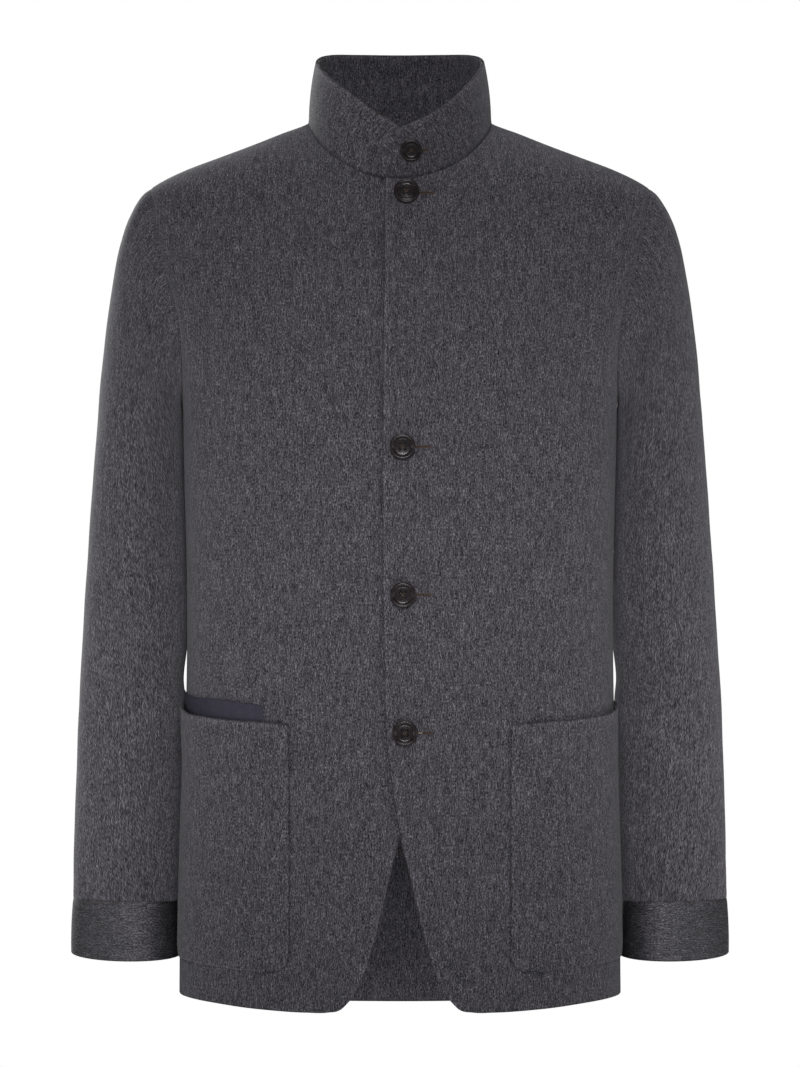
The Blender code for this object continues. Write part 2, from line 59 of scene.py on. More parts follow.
# Body
NECK_HALF = 0.0775
NECK_TOP = 0.0010
FRONT_NECK_DROP = 0.0507
BACK_NECK_RISE = 0.0160
FRONT_SCOOP = 1.3  # powers that shape the neckline in front and behind
BACK_SCOOP = 2.5
SHOULDER_HALF = 0.2120
SHOULDER_POINT = -0.0555
UNDERARM = -0.2360
WAIST = -0.4000
LAP = 0.0130
LAP_STARTS = 0.0520
LAP_SETTLES = 0.0340
SIDE_HEM = -0.7374
BACK_HEM_DROP = 0.0170
NECK_SHARE = 6 / 14  # share of a panel's columns that end at the neckline
HEM_CROWDING = 0.3  # how much closer the columns lie by the inner edge at the hem

# Trim
BUTTON_RADIUS = 0.0107
COLLAR_BUTTON_RADIUS = 0.0092
BUTTON_THICKNESS = 0.0042
BUTTON_GAP = 0.0005
BUTTON_HANG = (0.0, -1.0, -0.17)  # the way a button hangs on a loose thread
FRONT_HANGS = 0.25  # how far a front button turns that way from the cloth
COLLAR_HANGS = 1.0
HOLE_RADIUS = 0.105  # of a thread hole, as a share of the button's radius
HOLE_PLACE = 0.27
HOLE_DEPTH = 0.0200
POCKET_INNER = 0.0915
POCKET_SIDE = 0.985
POCKET_CORNER = 0.0140
FACING_INNER = 0.1135
FACING_HEIGHT = -0.4900
FACING_TUCK = 0.0150

# Sewing
HOLE_STARTS = 0.5  # where a buttonhole starts, as a share of the button's radius
STITCH_STEP = 0.0004
STITCH_NEAR = 0.0003  # from the middle of a buttonhole to a stitch's two ends
STITCH_FAR = 0.0010
STITCH_TOP = 0.0002
STITCH_SLANT = 0.0001
STITCH_LIFT = 0.0001
STITCH_RADIUS = 0.00025
FINE_RADIUS = 0.0002
END_STITCHES = 7
END_TURN = 1.4  # the stitches round a buttonhole's end fan out to this angle
END_NEAR = np.array((0.0001, 0.0002, 0.0002))
END_FAR = np.array((0.0006, 0.0007, 0.0))
CROSS_HEIGHT = 0.72  # of the threads that cross on a button, as a share of its thickness
CROSS_RADIUS = 0.0004
SHANK_TOP = 0.0010
SHANK_RADIUS = 0.0017
TACK_RADIUS = 0.0007
TACK_LENGTH = 0.0040

# Fineness of the cloth
GRID = 0.0036  # usual distance between points
EDGE_STEPS = np.array((0.0, 0.0002, 0.0005, 0.0010, 0.0017, 0.0028))  # points near a rounded edge
RING_POINTS = 104  # points round a sleeve
ROUND_STEPS = 25  # steps for measuring round the body, and heights for measuring up it
CLIMB = np.linspace(-0.80, 0.02, 300)
BAKE_SIZE = (0.48, 0.98)  # each side of a cloth takes up one half of its own square
BAKE_MARGIN = 0.01
BAKE_UNDER = 0.5
# Lengths that the rows and columns of points are spread over
RUN = {
    "neckline": 0.110, "shoulder": 0.145, "sleeve": 0.620, "cuff": 0.047, "collar": 0.500,
    "pocket": 0.185, "pocket_height": 0.206, "facing": 0.130, "facing_height": 0.030,
}

# Unevenness of the cloth
# Size and shift on each piece
SWELL = {"front": (0.0004, 1.0), "back": (0.0004, 2.2), "left": (0.0005, 0.5), "right": (0.0005, 1.7)}
SLEEVE_RADIUS = 0.0550  # turns an angle round a sleeve into a distance
SIDE_CALM = 0.0040  # half width of the even cloth at the side seams
CALM_FADES = 0.0300
SLEEVE_CALM = 0.0200
# Its waves: share, and for two waves that cross, the pace in each direction and the share of the shift
SWELLS = ((0.6, (61, 23, 1), (17, -41, 2)), (0.4, (97, -37, 3), (29, 71, 1)))
CREASE_WANDER = 0.4  # how far a crease wanders, as a share of its half width
CREASE_TURNS = 7
CREASE_SHIFT = 40
CREASE_FADE = 1.2
HANG_ROUND = 0.12  # rounds a cuff's edge where it is highest, at its two sides

# Edges
SEAM_SINK = 0.0004  # how far the cloth dips where it is turned into a seam
SEAM_WIDTH = 0.0050
ALLOWANCE = 0.0070  # cloth turned in past a seam
TURN_IN = 0.0045  # how far that cloth lies below the outside
TURN_STARTS = (0.0014, 0.0012)  # its first points: past the seam, and below the outside
COLLAR_FOOT = 0.0006  # how far the collar's foot goes out over the neckline, and down
COLLAR_TUCK = 0.0016  # how far its lower edge goes in behind the neckline, and down
COLLAR_DROP = 0.0018  # how far the collar's end goes down where it laps under
SEWN_SINK = 0.0018  # how far a pocket's sewn edge settles onto the front
SEWN_WIDTH = 0.0090
PICK_LINE = 0.0070  # from an edge to the line of hand stitches beside it
PICK_DEPTH = 0.0003
PICK_WIDTH = 0.0013
FREE_EDGES = {"low": "free", "high": "free", "first": "free", "last": "free"}

# Painted light and shade on the cloth: how much darker or lighter, where, and over what width
# Painted highlight just in from a rounded edge, by the kind of edge
RIM_LIGHT = {"free": 0.0, "sewn": 0.12, "picked": 0.25, "lit_rim": 0.30}
RIM_LINE = 0.0020  # from an edge to the lightest line beside it
RIM_WIDTH = 0.0013
# Painted shade on an edge's rounded rim, and along a seam
RIM_DARK = 0.55
SEAM_DARK = 0.30
DARK_WIDTH = 0.0010
EDGE_LEAST = 0.4  # the darkest that painted shade at the edges makes the cloth
# Painted shade on the body's sides, where the arms keep light off them
ARM_DARK = 0.60
ARM_WIDTH = 0.0550
ARM_STARTS = 0.0500  # above the underarm
ARM_SETTLES = 0.0800
# Painted shadow on the under front, beside the edge of the front that laps over it
LAP_DARK = 0.28
LAP_LINE = 0.0010
LAP_WIDTH = 0.0012
# Painted shadow along the foot of the collar's front, and painted light on its front at the wearer's right
COLLAR_FRONT = 0.0100
COLLAR_FADES = 0.0300
FOOT_DARK = 0.45
FOOT_WIDTH = 0.0016
COLLAR_LIGHT = 0.27
COLLAR_LIGHT_AT = -0.0450
COLLAR_LIGHT_WIDTH = 0.0300
CLOTH_SHIFT = 0.37  # from one piece's place on the noise to the next
# Painted light that changes on the way down: height where that starts, how far it takes, lightness above and
# below
PAINTED_SHADING_DOWN = {"back": (-0.55, 0.20, 1.00, 1.22), "sleeve": (-0.33, 0.28, 1.05, 1.20)}
# Fibres of the wool, combed out in one direction: width, length, detail, turn from that direction,
# distortion, share
FIBRES = (
    (0.0009, 0.0019, 2.0, 0.00, 0.3, 0.48),
    (0.0008, 0.0085, 1.0, 0.10, 0.0, 0.21),
    (0.0008, 0.0085, 1.0, -0.13, 0.0, 0.21),
    (0.0045, 0.0360, 2.0, 0.00, 0.0, 0.10),
)
# Place on the fibres' scale, share of the cloth's tone
FIBRE_SHADES = ((0.37, 0.08), (0.46, 0.52), (0.54, 1.25), (0.64, 3.10))


def table(columns, *rows):
    """The columns of a short table, by name."""
    return dict(zip(columns.split(), np.array(rows).T))


# Level sections of the body from the hem up: half width, depth in front and behind, squareness of the oval
TORSO = table(
    "height half_width front back square",
    (-0.8, 0.1878, 0.143, 0.134, 2.55),
    (-0.745, 0.1874, 0.142, 0.132, 2.55),
    (-0.65, 0.1862, 0.14, 0.126, 2.55),
    (-0.55, 0.1832, 0.138, 0.118, 2.55),
    (-0.47, 0.1812, 0.1375, 0.114, 2.55),
    (-0.4, 0.1808, 0.139, 0.116, 2.55),
    (-0.31, 0.1828, 0.1423, 0.1255, 2.55),
    (-0.27, 0.1838, 0.1424, 0.1286, 2.55),
    (-0.236, 0.1846, 0.1416, 0.1298, 2.54),
    (-0.215, 0.1872, 0.1402, 0.1288, 2.51),
    (-0.195, 0.1907, 0.138, 0.1266, 2.46),
    (-0.172, 0.196, 0.1338, 0.123, 2.4),
    (-0.147, 0.2035, 0.1272, 0.118, 2.34),
    (-0.125, 0.2108, 0.12, 0.113, 2.28),
    (-0.0985, 0.2165, 0.1106, 0.106, 2.2),
    (-0.075, 0.217, 0.1012, 0.098, 2.12),
    (-0.0555, 0.212, 0.0924, 0.0902, 2.06),
    (-0.0493, 0.2023, 0.0893, 0.0877, 2.04),
    (-0.0391, 0.181, 0.0822, 0.0833, 2.0),
    (-0.0289, 0.1539, 0.0715, 0.0787, 2.0),
    (-0.0187, 0.1267, 0.056, 0.0738, 2.0),
    (-0.0085, 0.1012, 0.036, 0.0693, 2.0),
    (0.001, 0.0775, 0.012, 0.0655, 2.0),
    (0.012, 0.073, 0.01, 0.0634, 2.0),
    (0.02, 0.07, 0.01, 0.0615, 2.0),
)

# Front edge from the rounded lower corner up: how far it stays off the centre line on its own side
FRONT_EDGE = table(
    "height reach",
    (-0.7367, 0.0421), (-0.7259, 0.0353), (-0.712, 0.029), (-0.6985, 0.0245), (-0.671, 0.0166),
    (-0.6352, 0.0088), (-0.602, 0.0004), (-0.5738, -0.0042), (-0.5472, -0.0081), (-0.5189, -0.0116),
    (-0.47, -LAP), (0.02, -LAP),
)

# Front hem from the rounded lower corner to the side seam
FRONT_HEM = table(
    "reach height",
    (0.0421, -0.7367), (0.049, -0.7434), (0.0607, -0.7461), (0.0781, -0.7463), (0.118, -0.7443),
    (0.158, -0.7405), (0.1775, -0.7386), (0.187, -0.7374),
)

# Armhole seam from the underarm up
ARMHOLE = table(
    "height reach",
    (-0.236, 0.1846), (-0.215, 0.184), (-0.195, 0.1842), (-0.172, 0.1864), (-0.147, 0.1925),
    (-0.125, 0.1985), (-0.0985, 0.2048), (-0.075, 0.209), (-0.0555, 0.212),
)

# Soft folds that the cloth hangs in: face, place across, upper and lower end, half width, depth
FOLDS = (
    ("front", 0.118, -0.27, -0.52, 0.03, 0.0016),
    ("front", 0.05, -0.33, -0.5, 0.022, 0.0008),
    ("back", 0.105, -0.12, -0.56, 0.04, 0.0035),
    ("back", 0.045, -0.33, -0.64, 0.03, 0.0025),
    ("back", 0.135, -0.48, -0.735, 0.03, 0.003),
)

# Creases in the body's cloth, from one point to another: face, x and height of each end, half width, depth
CREASES = (
    ("front", 0.163, -0.15, 0.15, -0.29, 0.011, 0.0014),
    ("front", -0.165, -0.14, -0.154, -0.31, 0.012, 0.0016),
    ("front", 0.02, -0.514, 0.07, -0.535, 0.007, 0.0006),
    ("front", 0.016, -0.276, 0.06, -0.262, 0.008, 0.0004),
    ("front", -0.02, -0.505, -0.075, -0.53, 0.008, 0.0005),
    ("back", 0.15, -0.19, 0.085, -0.3, 0.013, 0.0022),
    ("back", -0.146, -0.18, -0.095, -0.31, 0.014, 0.0025),
    ("back", 0.12, -0.36, 0.02, -0.392, 0.011, 0.0018),
    ("back", -0.11, -0.378, -0.01, -0.414, 0.012, 0.002),
    ("back", 0.06, -0.06, -0.06, -0.064, 0.012, 0.0012),
)

# Sleeve rings from the armhole to the cuff seam: outer and inner point, half depth, middle from front to back
SLEEVE = table(
    "outer_x outer_z inner_x inner_z half_depth middle",
    (0.212, -0.0555, 0.185, -0.2362, 0.06, 0.0),
    (0.218, -0.0604, 0.1853, -0.2385, 0.061, 0.002),
    (0.2235, -0.0675, 0.1853, -0.241, 0.062, 0.005),
    (0.2312, -0.082, 0.1849, -0.245, 0.0632, 0.009),
    (0.2372, -0.099, 0.1845, -0.25, 0.064, 0.014),
    (0.2447, -0.133, 0.184, -0.259, 0.0645, 0.02),
    (0.25, -0.167, 0.1837, -0.269, 0.0645, 0.025),
    (0.2548, -0.21, 0.1832, -0.285, 0.064, 0.03),
    (0.2592, -0.26, 0.1828, -0.308, 0.0632, 0.034),
    (0.263, -0.31, 0.1816, -0.34, 0.062, 0.037),
    (0.2663, -0.356, 0.1807, -0.374, 0.0605, 0.039),
    (0.2694, -0.405, 0.1808, -0.413, 0.059, 0.04),
    (0.272, -0.444, 0.1821, -0.4445, 0.057, 0.041),
    (0.2738, -0.473, 0.1851, -0.474, 0.0552, 0.041),
    (0.2744, -0.487, 0.1838, -0.488, 0.0545, 0.041),
    (0.2766, -0.541, 0.1848, -0.541, 0.0515, 0.041),
    (0.2787, -0.609, 0.1862, -0.609, 0.048, 0.041),
    (0.2797, -0.66, 0.1884, -0.662, 0.0445, 0.041),
)
SLEEVE_SETTLES = 0.100

# Creases in a sleeve: side, degrees round from the outer line over the front and distance down, at each end,
# half width, depth
SLEEVE_CREASES = (
    ("left", 150, 0.3, 255, 0.275, 0.009, 0.0022),
    ("left", 140, 0.335, 240, 0.33, 0.008, 0.0016),
    ("left", 200, 0.38, 300, 0.35, 0.01, 0.0018),
    ("left", 120, 0.085, 165, 0.17, 0.01, 0.0014),
    ("left", 235, 0.06, 205, 0.19, 0.012, 0.0022),
    ("right", 155, 0.29, 250, 0.262, 0.009, 0.002),
    ("right", 135, 0.322, 245, 0.315, 0.009, 0.0018),
    ("right", 205, 0.372, 290, 0.345, 0.011, 0.0016),
    ("right", 125, 0.08, 160, 0.18, 0.01, 0.0012),
    ("right", 240, 0.07, 200, 0.2, 0.012, 0.0024),
)

# Cuff from its seam down: as for the sleeve, and how far the front and back hang below the sides
CUFF = table(
    "outer_x outer_z inner_x inner_z half_depth middle hang",
    (0.2798, -0.6598, 0.1883, -0.6618, 0.0446, 0.041, 0.0),
    (0.281, -0.677, 0.1878, -0.678, 0.045, 0.042, 0.001),
    (0.2815, -0.693, 0.1876, -0.694, 0.0446, 0.042, 0.0025),
    (0.2815, -0.707, 0.1876, -0.7088, 0.044, 0.043, 0.0048),
)

# Painted light on a cuff, from the side by the body outwards: painted shade by the body, a painted sheen down
# the middle
CUFF_PAINTED_SHADING = table(
    "reach light",
    (0.18, 0.36), (0.19, 0.38), (0.2015, 0.52), (0.212, 0.98), (0.221, 1.16), (0.23, 1.02),
    (0.24, 0.8), (0.257, 0.66), (0.29, 0.62),
)

# Height of the collar's upper edge by degrees from the centre front: on the side that laps under, and over
COLLAR = table(
    "angle under over",
    (-14.0, -0.014, -0.0148), (0.0, -0.003, -0.007), (15.0, 0.0075, 0.0008), (30.0, 0.0185, 0.0112),
    (50.0, 0.032, 0.028), (70.0, 0.0445, 0.0428), (84.0, 0.0518, 0.051), (97.0, 0.0558, 0.0556),
    (110.0, 0.0588, 0.0588), (124.0, 0.061, 0.061), (150.0, 0.0623, 0.0623), (180.0, 0.0625, 0.0625),
)
COLLAR_UNDER_END = 19.0
COLLAR_OVER_END = 12.0
COLLAR_LEAN = 0.078
COLLAR_HEIGHT = 0.055
COLLAR_FILLS = 0.015  # height over which the collar grows to its full thickness

# Pocket mouth and lower edge by distance from the centre line
POCKET = table(
    "reach mouth lower",
    (0.0915, -0.5073, -0.713), (0.113, -0.505, -0.7122), (0.152, -0.5015, -0.709),
    (0.172, -0.497, -0.7068), (0.1805, -0.49, -0.7056),
)
RIGHT_MOUTH_GAPE = 0.0040
LEFT_MOUTH_GAPE = 0.0026
MOUTH_SETTLES = 0.060
INNER_SLACK = 0.6  # share of the gape that a mouth has at its inner end
SLACK_GROWS = 1.6
FLAT_FROM = 0.75  # share of the mouth from which it settles towards the side seam
SIDE_FLATTENS = 0.3

# Upper edge of the facing behind the right pocket
FACING = table(
    "reach height",
    (0.11, -0.4922), (0.135, -0.4888), (0.157, -0.486), (0.1775, -0.4836), (0.183, -0.48),
)

# Front buttons from the top: across from the centre line, height
FRONT_BUTTONS = ((0.0055, -0.0630), (0.0020, -0.2760), (0.0025, -0.3990), (0.0040, -0.5138))
COLLAR_BUTTON = (0.0095, -0.0265)
BUTTONHOLE = 0.0230  # from a button's centre to the far end of its hole
COLLAR_BUTTONHOLE = 0.0140

# Camera and stage
CAMERA_DISTANCE = 6.0
CAMERA_HEIGHT = -0.3481
FRAME_HEIGHT = 0.9070  # what the frame spans at the jacket's middle
FLOOR = -1.4500
FLOOR_RADIUS = 6.0
SENSOR = 36.0  # width in millimetres, as the lens's length is
ROOM_LIGHT = 0.3  # light of the white room beside that of the soft boxes
# Soft boxes: name, place, aim, size, power, spread in degrees
LIGHTS = (
    ("upper light", (0.0, -1.75, 0.15), (0.0, -0.1, -0.33), (1.2, 0.3), 3.6, 34),
    ("lower light", (0.0, -1.6, -1.25), (0.0, -0.05, -0.60), (1.2, 0.3), 1.6, 38),
    ("top light", (0.0, -0.1, 1.3), (0.0, 0.0, -0.05), (1.0, 0.6), 3.4, 60),
    ("neck light", (0.0, -1.2, 1.1), (0.0, 0.05, 0.07), (0.5, 0.1), 0.3, 16),
    ("back light", (-1.2, 2.2, 0.4), (0.0, 0.0, -0.35), (1.4, 1.4), 30.0, 90),
    ("right light", (-1.7, -1.0, -0.65), (-0.25, 0.0, -0.60), (0.4, 0.8), 1.2, 40),
    ("left light", (1.7, -1.0, -0.65), (0.25, 0.0, -0.60), (0.4, 0.8), 1.2, 40),
)


def smooth(at, xs, ys):
    """A smooth curve through a table's points, read at any place."""
    slope = np.gradient(ys, xs)
    i = np.clip(np.searchsorted(xs, at) - 1, 0, len(xs) - 2)
    step = xs[i + 1] - xs[i]
    t = np.clip((at - xs[i]) / step, 0, 1)
    rest = 1 - t
    values = (1 + 2 * t) * rest**2 * ys[i] + (1 + 2 * rest) * t**2 * ys[i + 1]
    return values + step * (t * rest**2 * slope[i] - t**2 * rest * slope[i + 1])


def read(sizes, column, at):
    """A column of a table, read against the table's first column."""
    return smooth(at, next(iter(sizes.values())), sizes[column])


def ease(t):
    """From 0 to 1 with soft ends."""
    t = np.clip(t, 0, 1)
    return t * t * (3 - 2 * t)


def bell(distance, width):
    """From 1 in the middle down to 0 on both sides."""
    return np.exp(-((distance / width) ** 2))


def lengths(vectors):
    """Lengths of vectors."""
    return np.linalg.norm(vectors, axis=-1)


def travel(p, q):
    """Distance travelled along a line of points."""
    return np.concatenate(([0], np.cumsum(np.hypot(np.diff(p), np.diff(q)))))


def level(column, height):
    """A measure of the body's level section at a height."""
    return read(TORSO, column, height)


def girth_turn():
    """Share of the way round a quarter of the waist, against the angle that the oval is drawn with."""
    turn = np.linspace(0, math.pi / 2, 400)
    half_width, depth, square = level("half_width", WAIST), level("front", WAIST), level("square", WAIST)
    x = half_width * np.sin(turn) ** (2 / square)
    y = depth * np.abs(np.cos(turn)) ** (2 / square)
    run = travel(x, y)
    return run / run[-1], turn


GIRTH = girth_turn()


def fold_depth(face, x, height):
    """How far the soft folds take the cloth in."""
    depth = 0
    for on_face, across, top, bottom, half_width, deep in FOLDS:
        if on_face == face:
            beside = bell(np.abs(x) - across, half_width)
            along = np.clip((height - bottom) / (top - bottom), 0, 1)
            depth = depth + deep * beside * np.sin(math.pi * along) ** 2
    return depth


def station_at(x, height):
    """Where a place across lies on the way round: 0 in the middle, 1 at the side or shoulder seam."""
    share = np.clip(np.abs(x) / level("half_width", height), 0, 1)
    turn = np.arcsin(share ** (level("square", height) / 2))
    return np.sign(x) * np.interp(turn, GIRTH[1], GIRTH[0])


def on_torso(face, station, height):
    """The outside of the cloth at a station and a height, on the front or the back."""
    turn = np.interp(np.abs(station), *GIRTH)
    power = 2 / level("square", height)
    x = np.sign(station) * level("half_width", height) * np.sin(turn) ** power
    depth = level(face, height) * np.clip(np.cos(turn), 0, 1) ** power
    side_share = np.clip(depth / level(face, height), 0, 1)
    depth = depth - fold_depth(face, x, height) * ease(2 * side_share)
    outward = -1 if face == "front" else 1
    return np.stack((x, outward * (depth + SEAM / 2), height + 0 * x), axis=-1)


def round_torso(x, side, front_height, back_height):
    """Points at places across, on the front where side is above 0, on the back below, between them at 0."""
    front = on_torso("front", station_at(x, front_height), front_height)
    back = on_torso("back", station_at(x, back_height), back_height)
    points = np.where((side > 1e-9)[:, None], front, back)
    points[np.abs(side) < 1e-6, 1] = 0
    return points


def shoulder_height(x):
    """Height of the shoulder seam, where the level sections close."""
    heights = np.linspace(NECK_TOP, SHOULDER_POINT, 200)
    return np.interp(x, level("half_width", heights), heights)


def neck_height(face, angle):
    """Height of the neckline at an angle from the centre of the front or back."""
    if face == "front":
        return NECK_TOP - FRONT_NECK_DROP * np.clip(np.cos(angle), 0, 1) ** FRONT_SCOOP
    return NECK_TOP + BACK_NECK_RISE * np.clip(np.cos(angle), 0, 1) ** BACK_SCOOP


def top_line(face, first_angle, u):
    """The upper edge of a panel, the neckline and then the shoulder seam, as places across and heights."""
    angle = first_angle + (math.pi / 2 - first_angle) * np.clip(u / NECK_SHARE, 0, 1)
    along_shoulder = np.clip((u - NECK_SHARE) / (1 - NECK_SHARE), 0, 1)
    neck_x = NECK_HALF * np.sin(angle)
    shoulder_x = NECK_HALF + (SHOULDER_HALF - NECK_HALF) * along_shoulder
    on_neck = u < NECK_SHARE - 1e-9
    height = np.where(on_neck, neck_height(face, angle), shoulder_height(shoulder_x))
    return np.where(on_neck, neck_x, shoulder_x), height


def knots(length, low_edge=True, high_edge=True):
    """Shares of a length about a grid step apart, with closer ones near the ends that have a rounded edge."""
    near = EDGE_STEPS / length
    start = near if low_edge else np.zeros(1)
    end = 1 - near[::-1] if high_edge else np.ones(1)
    middle = np.linspace(start[-1], end[0], int(length / GRID) + 1)[1:-1]
    return np.concatenate((start, middle, end))


def lower_part(u, rise, inner_reach, hem_height):
    """Stations and heights of a panel's rows from the hem to just below the underarm."""
    inner_height = hem_height(0) + (UNDERARM - hem_height(0)) * rise
    inner = station_at(inner_reach(inner_height), inner_height)
    station = inner + (1 - inner) * u ** (1 + HEM_CROWDING - HEM_CROWDING * rise)
    hem = hem_height(station[0])
    return station, hem + (UNDERARM - hem) * rise


def upper_part(face, u, up, inner_reach, first_angle):
    """Stations and heights of a panel's rows from the underarm to the neckline and the shoulder seam."""
    top_x, top = top_line(face, first_angle, u)
    height = UNDERARM + (top - UNDERARM) * up
    inner = station_at(inner_reach(UNDERARM), UNDERARM)
    first_x = on_torso(face, inner + (1 - inner) * u, UNDERARM + 0 * u)[:, 0]
    x = first_x + (top_x - first_x) * up
    armhole_x = read(ARMHOLE, "reach", height[:, -1:])
    x = x + (armhole_x - x[:, -1:]) * u**3
    return station_at(x, height), height


def panel(face, inner_reach, hem_height, first_angle, inner_edge):
    """Rows of points from the hem up, each from the panel's inner edge to the side seam or armhole."""
    neck_columns = NECK_SHARE * knots(RUN["neckline"], low_edge=inner_edge, high_edge=False)
    shoulder_columns = NECK_SHARE + (1 - NECK_SHARE) * knots(RUN["shoulder"], low_edge=False)
    u = np.concatenate((neck_columns[:-1], shoulder_columns))
    rise = knots(UNDERARM - SIDE_HEM, high_edge=False)[:-1, None]
    up = knots(SHOULDER_POINT - UNDERARM, low_edge=False)[:, None]
    lower = lower_part(u, rise, inner_reach, hem_height)
    upper = upper_part(face, u, up, inner_reach, first_angle)
    station = np.concatenate((lower[0], upper[0]))
    height = np.concatenate((lower[1], upper[1]))
    return on_torso(face, station, height)


def front_points():
    """The wearer's left front."""
    hem_stations = station_at(FRONT_HEM["reach"], FRONT_HEM["height"])

    def inner_reach(height):
        return read(FRONT_EDGE, "reach", height)

    def hem_height(station):
        return smooth(np.maximum(station, hem_stations[0]), hem_stations, FRONT_HEM["height"])

    return panel("front", inner_reach, hem_height, -math.asin(LAP / NECK_HALF), True)


def back_points():
    """The whole back, from the wearer's left side seam to the right one."""

    def inner_reach(height):
        return 0 * height

    def hem_height(station):
        return SIDE_HEM - BACK_HEM_DROP * (1 - np.abs(station) ** 2)

    left = panel("back", inner_reach, hem_height, 0.0, False)
    return np.concatenate((left[:, ::-1], left[:, 1:] * (-1, 1, 1)), axis=1)


def mirrored(points):
    """The same rows on the wearer's other side, still running the same way round."""
    return points[:, ::-1] * (-1, 1, 1)


def outward(points, closed=False):
    """Unit normals of a grid of points, away from the wearer."""
    across = np.gradient(points, axis=1)
    if closed:
        across = np.roll(points, -1, axis=1) - np.roll(points, 1, axis=1)
    normal = np.cross(across, np.gradient(points, axis=0))
    return normal / lengths(normal)[..., None]


def lapped_under(points, lap, drop=0.0):
    """Points moved in, and down, near the centre front on the wearer's right to pass under the left front."""
    share = ease((points[..., :1] + LAP_STARTS) / LAP_SETTLES) * (points[..., 1:2] < 0)
    return points - (outward(points) * lap + (0, 0, drop)) * share


def trough(p, q, start, end, half_width):
    """From 0 to 1: how deep a point lies in a trough between two ends, with p and q measured alike."""
    run = np.array(end) - np.array(start)
    length = np.hypot(*run)
    along = ((p - start[0]) * run[0] + (q - start[1]) * run[1]) / length**2
    beside = ((p - start[0]) * run[1] - (q - start[1]) * run[0]) / length
    beside = beside + CREASE_WANDER * half_width * np.sin(CREASE_TURNS * along + CREASE_SHIFT * start[0])
    fade = np.sin(math.pi * np.clip(along, 0, 1)) ** CREASE_FADE
    return fade * bell(beside, half_width)


def swell(p, q, shift):
    """The cloth's slight unevenness over its whole surface, from about -1 to 1."""
    total = 0
    for share, one, other in SWELLS:
        one, other = [np.sin(a * p + b * q + c * shift) for a, b, c in (one, other)]
        total = total + share * (one * other)
    return total


def relief(piece, p, q, creases, unit=1.0):
    """How far creases and unevenness take the cloth in. The creases' first measure is in the given unit."""
    size, shift = SWELL[piece]
    depth = size * swell(p, q, shift)
    for on_piece, p0, q0, p1, q1, half_width, deep in creases:
        if on_piece == piece:
            depth = depth + deep * trough(p, q, (unit * p0, q0), (unit * p1, q1), half_width)
    return depth


def creased(face, points):
    """A body panel's points with its creases."""
    calm = ease((np.abs(points[..., 1]) - SIDE_CALM) / CALM_FADES)
    depth = relief(face, points[..., 0], points[..., 2], CREASES)
    return points - outward(points) * (depth * calm)[..., None]


def ring_turns():
    """Angles round a sleeve from its inner line over the back, the outer line and the front."""
    return math.pi + np.linspace(0, 2 * math.pi, RING_POINTS, endpoint=False)


def armhole_ring(turn):
    """The left armhole at angles from the shoulder seam, down the front and up the back."""
    height = UNDERARM + (SHOULDER_POINT - UNDERARM) * (1 + np.cos(turn)) / 2
    return round_torso(read(ARMHOLE, "reach", height), np.sin(turn), height, height)


def tube(sizes, along, turn):
    """Rings through a table of tube sections, at the given distances down the outer side."""
    run = travel(sizes["outer_x"], sizes["outer_z"])
    at = {name: smooth(along * run[-1], run, column)[:, None] for name, column in sizes.items()}
    swing, side = (1 + np.cos(turn)) / 2, np.sin(turn)
    x = at["inner_x"] + (at["outer_x"] - at["inner_x"]) * swing
    y = at["middle"] - at["half_depth"] * side
    z = at["inner_z"] + (at["outer_z"] - at["inner_z"]) * swing
    if "hang" in sizes:
        z = z - at["hang"] * (np.hypot(side, HANG_ROUND) - HANG_ROUND)
    return np.stack((x, y, z), axis=-1), along * run[-1]


def turned_in(ring, turn):
    """Two rings of the seam allowance, which meets the armhole's edge and goes on under the body."""
    inward = np.stack((0 * turn, np.sin(turn), -np.cos(turn)), axis=-1)
    under = ring + TURN_IN * inward - (ALLOWANCE, 0, 0)
    past, below = TURN_STARTS
    return np.array((under, ring + below * inward - (past, 0, 0)))


def sleeve_points(side):
    """A left sleeve with the creases of one side: rings that start as the armhole and settle to ovals."""
    turn = ring_turns()
    rings, run = tube(SLEEVE, knots(RUN["sleeve"]), turn)
    from_armhole = armhole_ring(turn) + (SLEEVE_GAP, 0, 0) - rings[0]
    left_over = 1 - ease(run / SLEEVE_SETTLES)
    rings = rings + from_armhole * left_over[:, None, None]
    round_way = SLEEVE_RADIUS * (turn % (2 * math.pi)) + 0 * run[:, None]
    down = run[:, None] + 0 * turn
    depth = relief(side, round_way, down, SLEEVE_CREASES, SLEEVE_RADIUS * math.radians(1))
    calm = ease(down / SLEEVE_CALM) * ease((run[-1] - down) / SLEEVE_CALM)
    sink = depth * calm + SEAM_SINK * np.clip(1 - down / SEAM_WIDTH, 0, 1) ** 2
    rings = rings - outward(rings, True) * sink[..., None]
    return np.concatenate((turned_in(rings[0], turn), rings))


def cuff_points():
    """Rings of the left cuff."""
    return tube(CUFF, knots(RUN["cuff"]), ring_turns())[0]


def collar_base(degrees):
    """The neckline at an angle that grows from the centre front over the wearer's right shoulder."""
    angle = np.radians(degrees)
    front, back = neck_height("front", angle), neck_height("back", angle + math.pi)
    return round_torso(-NECK_HALF * np.sin(angle), np.cos(angle), front, back)


def collar_shares():
    """Heights of the collar's rows, as shares of its rise."""
    return knots(COLLAR_HEIGHT, low_edge=False)


def collar_thickness():
    """Thickness of the collar's rows, which grows from that of one cloth at the neckline to that of two."""
    height = COLLAR_HEIGHT * np.concatenate(([0.0], collar_shares()))
    return (CLOTH + (COLLAR_CLOTH - CLOTH) * ease(height / COLLAR_FILLS))[:, None]


